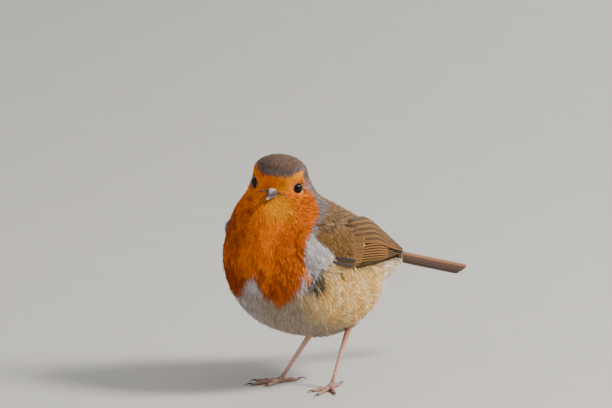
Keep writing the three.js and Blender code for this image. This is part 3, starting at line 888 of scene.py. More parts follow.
@dataclass(frozen=True)
class HornFinish:
    """Bill and claw: dark horn, streaked along its length, paler at the edges, with painted light on the
    bill.
    """

    name: str
    dark: str
    pale: str
    roughness: float

    def make(self) -> Material:
        """Builds the material."""
        material, sheet, shader = new_material(self.name, Specular_IOR_Level=0.6, Coat_Weight=0.25)
        shader.inputs["Coat Roughness"].default_value = 0.2
        pale = sheet.read("pale").outputs["Fac"]
        noise = sheet.add("TexNoise", {"Vector": sheet.object_place(), "Scale": 1100.0, "Detail": 4.0})
        uneven = sheet.math("MULTIPLY", sheet.math("SUBTRACT", noise.outputs[0], 0.5), 0.35)
        share = sheet.add("Clamp", {"Value": sheet.math("ADD", pale, uneven)}).outputs[0]
        colour = sheet.mix(share, solid(self.dark), solid(self.pale))
        sheet.feed(shader, "Base Color", colour)
        rough = sheet.math("ADD", self.roughness, sheet.math("MULTIPLY", noise.outputs[0], 0.12))
        sheet.feed(shader, "Roughness", rough)
        add_bump(sheet, shader, noise.outputs[0], 0.25, 0.05 * MM)
        return material


@dataclass(frozen=True)
class EyeFinish:
    """A wet dark eye: black pupil in an almost black iris."""

    name: str = "eye"

    def make(self) -> Material:
        """Builds the material."""
        material, sheet, shader = new_material(
            self.name, Roughness=0.05, Specular_IOR_Level=0.2, Coat_Weight=0.1)
        shader.inputs["Coat Roughness"].default_value = 0.03
        ring = sheet.read("iris").outputs["Fac"]
        noise = sheet.add("TexNoise", {"Vector": sheet.object_place(), "Scale": 2600.0, "Detail": 3.0})
        brown = sheet.mix(noise.outputs[0], solid("#0d0705"), solid("#1a0f0a"))
        colour = sheet.mix(sheet.ramp(ring, 0.55, 0.6), (0.001, 0.001, 0.001, 1.0), brown)
        sheet.feed(shader, "Base Color", colour)
        return material


@dataclass(frozen=True)
class VaneFinish:
    """A flight or covert feather: webs, a coloured fringe, a shaft and sometimes a pale tip."""

    name: str
    web: str
    fringe: str
    shaft: str = "#2a1f16"
    tip: str = "#d8a24c"
    fringe_from: float = 0.35
    fringe_to: float = 0.75
    tip_from: float = 2.0

    def make(self) -> Material:
        """Builds the material."""
        material, sheet, shader = new_material(self.name, Roughness=0.62, Specular_IOR_Level=0.25)
        pattern = Groups.place(sheet, "vane_pattern", {
            "Web": solid(self.web), "Fringe": solid(self.fringe),
            "Shaft": solid(self.shaft), "Tip": solid(self.tip),
            "Fringe From": self.fringe_from, "Fringe To": self.fringe_to, "Tip From": self.tip_from})
        mottle = Groups.place(sheet, "mottle", {
            "Color": pattern.outputs["Color"], "Grain": 1200.0, "Strength": 0.4})
        sheet.feed(shader, "Base Color", mottle.outputs["Color"])
        add_bump(sheet, shader, pattern.outputs["Height"], 0.4, 0.08 * MM)
        return material


def dress(item: Object, material: Material) -> None:
    """Gives a piece one material."""
    item.data.materials.clear()
    item.data.materials.append(material)


# ------------------------------------------------------------------ skin, legs and face


FLESH = ("head", "neck", "trunk", "rump", "thigh_left", "thigh_right")
WING_PARTS = ("coverts", "tertials", "secondaries", "primaries")
FOOT_TURN = {"left": 20.0, "right": 8.0}


@dataclass(frozen=True)
class Toe:
    """One toe: its bearing in degrees from straight ahead, its lengths, and how many pads it has."""

    bearing: float
    length: float
    claw: float
    pads: float


TOES = {
    "inner": Toe(bearing=-24.0, length=9.5, claw=3.6, pads=2.0),
    "middle": Toe(bearing=6.0, length=13.5, claw=4.0, pads=3.0),
    "outer": Toe(bearing=38.0, length=10.0, claw=3.6, pads=3.5),
    "hind": Toe(bearing=184.0, length=8.2, claw=5.4, pads=1.5),
}


def toe_way(side: str, toe: str) -> Array:
    """The level direction that a toe points in."""
    bearing = math.radians(SIDES[side] * (TOES[toe].bearing + FOOT_TURN[side]))
    return np.array([math.sin(bearing), -math.cos(bearing), 0.0])


@dataclass
class Legs:
    """The bare legs: a scaled tarsus, a foot and four padded toes on each side."""

    shank: tuple = ((0.0, 1.35), (0.25, 1.15), (0.55, 0.95), (0.85, 0.82), (1.0, 1.05))
    toe_girth: tuple = ((0.0, 0.9), (0.3, 0.92), (0.55, 0.9), (0.85, 0.72), (1.0, 0.6))
    pad_swell: float = 0.12
    toe_start: float = 0.2
    sole: float = 0.97
    instep: float = 0.9
    instep_run: float = 1.6
    ankle_height: float = 1.3
    ball: float = 1.35
    ball_height: float = 1.25
    scaled_from: float = 2.4
    grain: float = 0.2

    def toe(self, side: str, toe: str) -> Object:
        """One toe, swollen at its pads and grooved at its joints, with its sole at floor level."""
        way, length = toe_way(side, toe), TOES[toe].length
        foot = np.array([*FEET[side], 0.0])
        share = np.linspace(0.0, 1.0, 19)
        swell = 1 + self.pad_swell * np.cos(2 * np.pi * TOES[toe].pads * share)
        girth = along_line(share, self.toe_girth) * swell
        girth[-1] *= 0.75
        path = foot + way * (self.toe_start + share[:, None] * (length - self.toe_start))
        path[:, 2] = girth * self.sole + self.instep * np.exp(-share * length / self.instep_run)
        return ring_tube(f"toe_{toe}_{side}_skin", round_rings(path, girth, 14))

    def shin(self, side: str) -> Object:
        """The tarsus, from inside the thigh's feathers down into the foot."""
        top = np.array(ANKLES[side])
        foot = np.array([*FEET[side], self.ankle_height])
        share = np.linspace(-0.08, 1.0, 25)
        path = lerp(top, foot, share[:, None])
        girth = along_line(share, self.shank)
        return ring_tube(f"shin_{side}_skin", round_rings(path, girth, 16))

    def make(self, side: str) -> Object:
        """One whole bare leg, melted together."""
        parts = [self.shin(side), *(self.toe(side, toe) for toe in TOES)]
        deselect_all()
        foot = SPACE.to_scene(np.array([*FEET[side], self.ball_height]))
        bpy.ops.mesh.primitive_uv_sphere_add(segments=20, ring_count=12, radius=self.ball * MM, location=foot)
        bpy.ops.object.transform_apply(location=True, rotation=True, scale=True)
        leg = join([*parts, bpy.context.object], f"leg_{side}")
        apply_modifier(leg, "REMESH", mode="VOXEL", voxel_size=self.grain * MM)
        apply_modifier(leg, "SMOOTH", factor=0.5, iterations=3)
        points = coordinates(leg)
        points[:, 2] = np.maximum(points[:, 2], 0.0)
        set_coordinates(leg, points)
        return leg

    def run(self, points: Array, side: str) -> Array:
        """Distance down the leg and out along the toes, which places the scales."""
        out = np.linalg.norm(points[:, :2] - np.array(FEET[side]), axis=1)
        return np.where(points[:, 2] > self.scaled_from, points[:, 2] * 0.8, out)


@dataclass
class Skin:
    """One skin from the bill to the claws, with lids and gape, lying under the coat by its depth."""

    grain: float = 0.85
    smooth: int = 12
    legs: Legs = field(default_factory=Legs)
    arm_coat: float = 0.45
    lid_radius: float = 2.4
    lid_girth: float = 0.13
    lid_reach: float = 0.6
    # How much darker the skin is than the plumage: painted shade in the coat's gaps.
    under_coat_shade: float = 0.55
    shank: str = "#dcab96"
    toes: str = "#a0776a"
    knee: str = "#a9694a"
    lid: str = "#a87c4a"
    fold: str = "#7a4e34"
    between_scales: float = 0.8
    gapes: tuple = (
        ((2.5, 10.2, -3.1), (4.1, 9.7, -3.4), (5.7, 9.0, -3.6), (7.5, 8.9, -4.2), (8.6, 8.8, -4.6)),
        ((-2.9, 9.9, -2.7), (-4.8, 8.9, -3.3), (-6.8, 7.8, -4.0), (-7.9, 7.0, -4.3)),
    )

    def outline(self) -> Object:
        """The coat's outer form, with the wing arms and without the flight feathers."""
        arms = [f"wing_coverts_{side}" for side in SIDES]
        return fused([*FLESH, *arms, "eye_left", "eye_right"], "skin_body", self.grain, self.smooth)

    def lids(self, side: str) -> Object:
        """The rim of bare lid round an eye, drawn a little long from front to back."""
        eye = SPACE.centre(f"eye_{side}")
        axis = gaze(side)
        angle = np.linspace(0, 2 * np.pi, 33)[:-1]
        front = unit(HEAD.forward - axis * (HEAD.forward @ axis))
        top = np.cross(axis, front)
        top = top if top @ HEAD.up > 0 else -top
        forwards, upwards = np.cos(angle) * 0.97 - 0.1 * np.sin(angle), 1.02 * np.sin(angle)
        rim = forwards[:, None] * front + upwards[:, None] * top
        seat = math.sqrt(EYE_RADIUS ** 2 - self.lid_radius ** 2)
        centre = eye + axis * (seat + 0.02)
        sections = []
        for ray in rim:
            turn = 2 * np.pi * np.arange(10) / 10
            outward = unit(ray)
            circle = np.cos(turn)[:, None] * outward + np.sin(turn)[:, None] * axis
            sections.append(centre + ray * self.lid_radius + self.lid_girth * circle)
        return self.closed_ring(f"lid_{side}", sections)

    @staticmethod
    def closed_ring(name: str, sections: Sequence[Array]) -> Object:
        """A ring-shaped tube through sections."""
        rows, count = len(sections), len(sections[0])
        here = np.arange(rows)[:, None] * count + np.arange(count)
        after = np.roll(here, -1, 0)
        quads = np.stack([here, np.roll(here, -1, 1), np.roll(after, -1, 1), after], -1).reshape(-1, 4)
        item = mesh_from_arrays(name, np.concatenate(sections), quads, np.empty((0, 3), int))
        in_edit_mode(item, lambda: bpy.ops.mesh.normals_make_consistent(inside=False))
        return item

    def gape(self, name: str, knots: Sequence[tuple[float, float, float]]) -> Object:
        """The soft fold of the mouth's corner, running back from the bill.

        Args:
            name: The fold's name.
            knots: Its line in the head's measures, from the bill outwards.

        Returns:
            The fold.
        """
        share = np.linspace(0, 1, 16)
        knots = np.array([HEAD.point(*knot) for knot in knots])
        ends = np.linspace(0, 1, len(knots))
        path = np.stack([np.interp(share, ends, knots[:, k]) for k in range(3)], -1)
        surface, normals = OUTLINE["body"].nearest(path)
        path = surface - normals * (0.22 + 0.3 * share[:, None])
        path[0] = lerp(knots[0], HEAD.point(0.0, 9.8, -3.4), 0.35)
        girth = along_line(share, ((0, 0.4), (0.3, 0.4), (0.75, 0.3), (1, 0.08)))
        return ring_tube(name, round_rings(path, girth, 10))

    def make(self) -> Object:
        """Builds the skin, its colours and its unwrap.

        Returns:
            The skin's object.
        """
        body = self.outline()
        OUTLINE["body"] = Surface(body)
        points, normals = coordinates(body), vertex_normals(body)
        depth = MEASURE.at(points, MEASURE.depth)
        arm = np.linalg.norm(OUTLINE["arm"].nearest(points)[0] - points, axis=1)
        depth = lerp(np.minimum(depth, self.arm_coat), depth, smoothstep(0.3, 1.6, arm))
        set_coordinates(body, points - normals * depth[:, None])
        apply_modifier(body, "SMOOTH", factor=0.5, iterations=4)
        OUTLINE["skin"] = Surface(body)
        count = len(body.data.vertices)
        extras = [self.legs.make(side) for side in SIDES]
        leg_counts = [len(leg.data.vertices) for leg in extras]
        extras += [self.lids(side) for side in SIDES]
        extras += [self.gape(f"gape_{index}", knots) for index, knots in enumerate(self.gapes)]
        skin = join([body, *extras], "skin")
        angle = math.radians(66)
        in_edit_mode(skin, lambda: bpy.ops.uv.smart_project(angle_limit=angle, island_margin=0.003))
        skin.data.uv_layers[0].name = "OFBake"
        self.paint(skin, count, leg_counts)
        smooth_shade(skin)
        dress(skin, SkinFinish().make())
        return skin

    def paint(self, skin: Object, body_count: int, leg_counts: Sequence[int]) -> None:
        """Stores the skin's colours, bareness and run down the legs."""
        points = coordinates(skin)
        # Painted shade: under the coat the skin takes the plumage colour darkened.
        colours = MARKINGS.colour(points) * self.under_coat_shade
        bare = np.zeros(len(points))
        run = np.zeros(len(points))
        start = body_count
        shank, toes, knee = paint(self.shank), paint(self.toes), paint(self.knee)
        for side, count in zip(SIDES, leg_counts):
            part = slice(start, start + count)
            low = smoothstep(9.0, 1.5, points[part, 2])[:, None]
            high = 0.7 * smoothstep(15.0, 24.0, points[part, 2])[:, None]
            colours[part] = lerp(lerp(shank, toes, low), knee, high)
            bare[part] = 1.0
            run[part] = self.legs.run(points[part], side)
            start += count
        face = slice(start, len(points))
        from_eyes = [np.linalg.norm(points[face] - SPACE.centre(f"eye_{side}"), axis=1) for side in SIDES]
        is_lid = np.min(np.abs(np.array(from_eyes) - EYE_RADIUS), axis=0) < self.lid_reach
        colours[face] = np.where(is_lid[:, None], paint(self.lid), paint(self.fold))
        bare[face] = 0.6
        run[face] = self.between_scales
        colour_attribute(skin, "plumage", colours)
        float_attribute(skin, "bare", bare)
        float_attribute(skin, "run", run)


@dataclass
class Face:
    """The eyes and the bill."""

    bill_root: float = 8.2
    bill_face: float = 10.2
    bill_tip: float = 18.0
    half_width: float = 2.45
    culmen: float = -1.1
    culmen_drop: float = 3.1
    gape_line: float = -3.65
    gape_drop: float = 0.85
    keel: float = 1.9
    lower_tip: float = 17.3
    gap: float = 0.12
    nostril: tuple = (1.6, 11.5, -2.35)
    nostril_size: tuple = (0.5, 0.85, 0.34)
    # Centre and size of the painted shade in and round the nostrils.
    nostril_shade_centre: tuple = (1.55, 11.5, -2.3)
    nostril_shade: tuple = (0.7, 0.85, 0.45)

    def eye(self, side: str) -> Object:
        """A glossy eyeball with a slightly domed cornea."""
        deselect_all()
        centre = SPACE.centre(f"eye_{side}")
        bpy.ops.mesh.primitive_uv_sphere_add(
            segments=48, ring_count=32, radius=EYE_RADIUS * MM, location=SPACE.to_scene(centre))
        item = bpy.context.object
        item.name = f"eyeball_{side}"
        bpy.ops.object.transform_apply(location=True, rotation=True, scale=True)
        points = coordinates(item)
        away = points - centre
        facing = unit(away) @ gaze(side)
        dome = 0.05 * smoothstep(0.6, 1.0, facing)
        set_coordinates(item, centre + away * (1 - 0.02 + dome)[:, None])
        float_attribute(item, "iris", np.degrees(np.arccos(np.clip(facing, -1, 1))) / 60.0)
        smooth_shade(item)
        return item

    def edge(self, forward: Array) -> Array:
        """The height of the line where the mandibles meet."""
        share = (forward - self.bill_face) / (self.bill_tip - self.bill_face)
        return self.gape_line - self.gape_drop * share

    def ring(self, forward: float, half: float, edge: float, ridge: float, power: float) -> Array:
        """A section of the bill: a rounded roof or keel over a flat underside."""
        turn = np.pi * np.arange(15) / 14
        bulge = np.sin(turn) ** power
        roof = [HEAD.point(half * math.cos(a), forward, lerp(edge, ridge, b)) for a, b in zip(turn, bulge)]
        floor = [HEAD.point(half * 0.9 * c, forward, edge + 0.06 * (ridge - edge)) for c in (-0.5, 0.0, 0.5)]
        return np.array(roof + floor)

    def upper(self) -> Object:
        """The upper mandible, with its ridge, slight hook and nostrils."""
        rings = []
        for forward in np.linspace(self.bill_root, self.bill_tip, 26):
            along = np.clip((forward - self.bill_face) / (self.bill_tip - self.bill_face), -0.3, 1.0)
            drop = self.culmen_drop * np.sign(along) * abs(along) ** 1.2
            half = self.half_width * (1 - 0.93 * max(along, 0.0) ** 0.85)
            hook = 0.16 * float(smoothstep(0.9, 1.0, along))
            edge = float(self.edge(forward)) - hook
            ridge = max(self.culmen - drop, edge + 0.28)
            roundness = 0.8 + 0.35 * float(smoothstep(0.0, 0.5, along))
            rings.append(self.ring(forward, half, edge, ridge, roundness))
        item = ring_tube("bill_upper_horn", rings)
        points = coordinates(item)
        normals = vertex_normals(item)
        place = HEAD.read(points)
        for across in SIDES.values():
            nostril = (place - np.array(self.nostril) * (across, 1, 1)) / self.nostril_size
            dent = 0.4 * np.exp(-np.sum(nostril ** 2, 1))
            points -= normals * dent[:, None]
        set_coordinates(item, points)
        return self.finish(item)

    def lower(self) -> Object:
        """The lower mandible."""
        rings = []
        for forward in np.linspace(self.bill_root, self.lower_tip, 22):
            along = np.clip((forward - self.bill_face) / (self.lower_tip - self.bill_face), 0.0, 1.0)
            top = float(self.edge(forward)) - self.gap
            half = 0.9 * self.half_width * (1 - 0.9 * along ** 0.9)
            rings.append(self.ring(forward, half, top, top - self.keel * (1 - 0.85 * along ** 1.3), 0.85))
        return self.finish(ring_tube("bill_lower_horn", rings))

    def finish(self, item: Object) -> Object:
        """Rounds a mandible off and stores where its horn is paler, with painted highlight and shade in it.
        """
        apply_modifier(item, "SUBSURF", levels=2, render_levels=2)
        place = HEAD.read(coordinates(item))
        edge = np.exp(-((place[:, 2] - self.edge(place[:, 1])) / 0.35) ** 2)
        base = smoothstep(12.4, 10.2, place[:, 1])
        tip = smoothstep(15.0, 17.8, place[:, 1])
        # Painted shade in and round the nostrils.
        nostril = np.abs(place) * (1, 1, -1) - self.nostril_shade_centre
        nostril = np.exp(-np.sum((nostril / self.nostril_shade) ** 2, 1))
        above = place[:, 2] - self.edge(place[:, 1])
        # Painted highlight along the ridge, and painted shade in a band along each side.
        ridge = smoothstep(1.3, 2.3, above) - 0.3 * np.exp(-((above - 0.8) / 0.4) ** 2)
        pale = 0.3 * edge + 0.1 * base + 0.45 * tip + 0.65 * ridge + 0.05 - 1.5 * nostril
        float_attribute(item, "pale", pale)
        smooth_shade(item)
        return item

    def bristles(self) -> Object:
        """The few fine bristles that stand over the gape."""
        hairs = []
        for side, across in SIDES.items():
            for index in range(6):
                share = index / 5
                root = HEAD.point(across * lerp(2.4, 5.2, share), lerp(10.0, 8.9, share), -2.6 - 0.5 * share)
                root = OUTLINE["body"].nearest(root[None])[0][0]
                way = HEAD.side * across * (0.5 + 0.3 * share)
                way = way + HEAD.forward * 0.8 - HEAD.up * (0.15 + 0.2 * share)
                reach = np.linspace(0, 1, 7)[:, None]
                path = root + unit(way) * reach * (2.6 + 0.5 * share) - HEAD.up * 0.5 * reach ** 2
                girth = lerp(0.055, 0.015, reach[:, 0])
                hairs.append(ring_tube(f"bristle_{side}_{index}", round_rings(path, girth, 6)))
        item = join(hairs, "bristles")
        float_attribute(item, "pale", np.zeros(len(item.data.vertices)))
        return item

    def make(self) -> dict[str, Object]:
        """Builds the pieces, by the CAD node that each replaces."""
        eye = EyeFinish().make()
        horn = HornFinish("bill_horn", "#3a3135", "#c6b8ba", 0.3).make()
        made = {f"eye_{side}": self.eye(side) for side in SIDES}
        for item in made.values():
            dress(item, eye)
        made |= {"bill_upper": self.upper(), "bill_lower": self.lower()}
        dress(made["bill_upper"], horn)
        dress(made["bill_lower"], horn)
        return made


@dataclass
class Claws:
    """Curved claws, flattened from side to side."""

    root: float = 0.56
    tip: float = 0.07
    arch: float = 0.19

    def claw(self, side: str, toe: str) -> Object:
        """One claw, arching up from its toe and down to the floor."""
        way, start, length = toe_way(side, toe), TOES[toe].length, TOES[toe].claw
        share = np.linspace(0.0, 1.0, 12)
        girth = lerp(self.root, self.tip, share ** 0.8)
        path = np.array([*FEET[side], 0.0]) + way * (start - 0.35 + share[:, None] * length)
        path[:, 2] = girth + self.arch * length * np.sin(np.pi * np.minimum(share * 1.05, 1.0))
        item = ring_tube(f"claw_{toe}_{side}_horn", round_rings(path, girth * 0.85, 12, flatten=1.18))
        apply_modifier(item, "SUBSURF", levels=1, render_levels=1)
        points = coordinates(item)
        points[:, 2] = np.maximum(points[:, 2], 0.0)
        set_coordinates(item, points)
        float_attribute(item, "pale", 0.35 * smoothstep(1.5, 0.0, np.linalg.norm(points - path[0], axis=1)))
        smooth_shade(item)
        return item

    def make(self) -> dict[str, Object]:
        """Builds the eight claws, by the CAD node that each replaces."""
        horn = HornFinish("claw_horn", "#3b2a24", "#a08070", 0.38).make()
        made = {f"claw_{toe}_{side}": self.claw(side, toe) for side in SIDES for toe in TOES}
        for item in made.values():
            dress(item, horn)
        return made


# ------------------------------------------------------------------ coat


@dataclass(frozen=True)
class TuftShape:
    """How the blades of a tuft stand to each other, as shares of the tuft's length."""

    blades: int = 6
    root_spread: float = 0.055
    middle_spread: float = 0.085
    tip_spread: float = 0.06
    roll: float = 32.0


@dataclass
class Tufts:
    """A set of tufts waiting to be woven: one row for each."""

    root: Array
    root_normal: Array
    tip: Array
    tip_normal: Array
    length: Array
    blade: Array
    lift: Array
    colour: Array
    place: Array

    def part(self, rows: Array) -> "Tufts":
        """Some of the rows."""
        return Tufts(*(getattr(self, name)[rows] for name in self.__dataclass_fields__))


class Loom:
    """Weaves tufts of tapering blades into one mesh."""

    STATIONS = np.array([0.0, 0.38, 0.72, 1.0])
    WIDTHS = np.array([0.7, 1.0, 0.72, 0.0])
    # Painted shade along each blade: darkest at the root, deep in the coat, a touch lighter at the tip.
    SHADE = np.array([0.42, 0.8, 1.0, 1.08])
    PATCH = 0.003
    VARIANTS = 9

    def __init__(self, shape: TuftShape, seed: int) -> None:
        self.shape = shape
        self.rng = np.random.default_rng(seed)
        size = (self.VARIANTS, shape.blades)
        self.offset = np.linspace(-1, 1, shape.blades) + self.rng.uniform(-0.2, 0.2, size)
        self.reach = 1.0 - 0.22 * np.abs(self.offset) - self.rng.uniform(0, 0.2, size)
        self.roll = np.radians(self.rng.normal(0, shape.roll, size))
        self.stray = self.rng.normal(0, 0.035, size)
        self.tone = self.rng.uniform(0.82, 1.14, size)

    def weave(self, name: str, tufts: Tufts) -> Object:
        """Builds one piece of coat.

        Args:
            name: The piece's name.
            tufts: Its tufts.

        Returns:
            The piece, with its colours and its OFBake map.
        """
        count, blades = len(tufts.root), self.shape.blades
        kind = self.rng.integers(0, self.VARIANTS, count)
        share = self.STATIONS * self.reach[kind][..., None]
        middle = (tufts.root + tufts.tip) / 2 + tufts.root_normal * tufts.lift[:, None]
        one, two, three = (value[:, None, None] for value in (tufts.root, middle, tufts.tip))
        u = share[..., None]
        line = (1 - u) ** 2 * one + 2 * u * (1 - u) * two + u ** 2 * three
        run = unit((1 - u) * (two - one) + u * (three - two) + 1e-6)
        normal = unit(lerp(tufts.root_normal[:, None, None], tufts.tip_normal[:, None, None], u))
        across = unit(np.cross(normal, run))
        spread = np.interp(share, (0.0, 0.45, 1.0),
                           (self.shape.root_spread, self.shape.middle_spread, self.shape.tip_spread))
        length = tufts.length[:, None, None]
        sideways = self.offset[kind][..., None] * spread + self.stray[kind][..., None] * share ** 2
        line = line + across * (sideways * length)[..., None]
        roll = self.roll[kind][..., None, None]
        flat = across * np.cos(roll) + normal * np.sin(roll)
        half = flat * (self.WIDTHS * tufts.blade[:, None, None] / 2)[..., None]
        points = np.empty((count, blades, 7, 3))
        points[:, :, 0:6:2] = (line - half)[:, :, :3]
        points[:, :, 1:6:2] = (line + half)[:, :, :3]
        points[:, :, 6] = line[:, :, 3]
        tone = self.tone[kind][..., None, None] * self.SHADE[[0, 0, 1, 1, 2, 2, 3]][:, None]
        colours = tufts.colour[:, None, None] * tone
        patch = np.empty((count, blades, 7, 2))
        level = np.repeat(share, 2, axis=2)[:, :, :7]
        step = np.array([-1, 1, -1, 1, -1, 1, 0]) * 0.08
        patch[..., 0] = np.clip(self.offset[kind] * 0.4, -0.42, 0.42)[..., None] + step
        patch[..., 1] = level - 0.5
        places = tufts.place[:, None, None] + patch * self.PATCH
        first = np.arange(count * blades)[:, None, None] * 7
        quads = (first + np.array([[0, 2, 3, 1], [2, 4, 5, 3]])).reshape(-1, 4)
        tris = (first[:, 0] + np.array([[4, 6, 5]])).reshape(-1, 3)
        item = mesh_from_arrays(name, points.reshape(-1, 3), quads, tris)
        corner_map(item, "OFBake", places.reshape(-1, 2))
        colour_attribute(item, "plumage", colours.reshape(-1, 3))
        return item


class Zone(Enum):
    """The pieces that the coat is made in."""

    FACE = "coat_face"
    CROWN = "coat_crown"
    NAPE_LEFT = "coat_nape_left"
    NAPE_RIGHT = "coat_nape_right"
    THROAT = "coat_throat"
    BREAST_LEFT = "coat_breast_left"
    BREAST_RIGHT = "coat_breast_right"
    BELLY_LEFT = "coat_belly_left"
    BELLY_RIGHT = "coat_belly_right"
    FLANK_LEFT = "coat_flank_left"
    FLANK_RIGHT = "coat_flank_right"
    MANTLE = "coat_mantle"
    RUMP = "coat_rump"
    VENT = "coat_vent"
    ARM_LEFT = "coat_wing_arm_left"
    ARM_RIGHT = "coat_wing_arm_right"


@dataclass(frozen=True)
class Combing:
    """How tufts are laid: spreads, rises and clearances in millimetres, swings in degrees."""

    swing: float = 7.0
    length_spread: tuple = (0.85, 1.15)
    arm_gap: float = 0.9
    under_wing: float = 2.6
    wing_length: float = 0.75
    loose_part: float = 0.05
    loose_rise: tuple = (0.3, 1.1)
    wrist_rise: float = 2.4
    sink: tuple = (-0.08, 0.3)
    proud: float = 0.5
    wing_front: float = -14.0
    wing_low: float = 47.0
    wing_rise: tuple = (0.12, 0.4)
    wing_depth: float = 0.35
    covert_edge: tuple = (0.455, 0.69)
    covert_noise: float = 0.014
    eye_opening: float = 3.6
    eye_cone: float = 0.38
    eye_clearance: float = 2.78
    colour_spread: float = 0.45
    tone_spread: float = 0.12


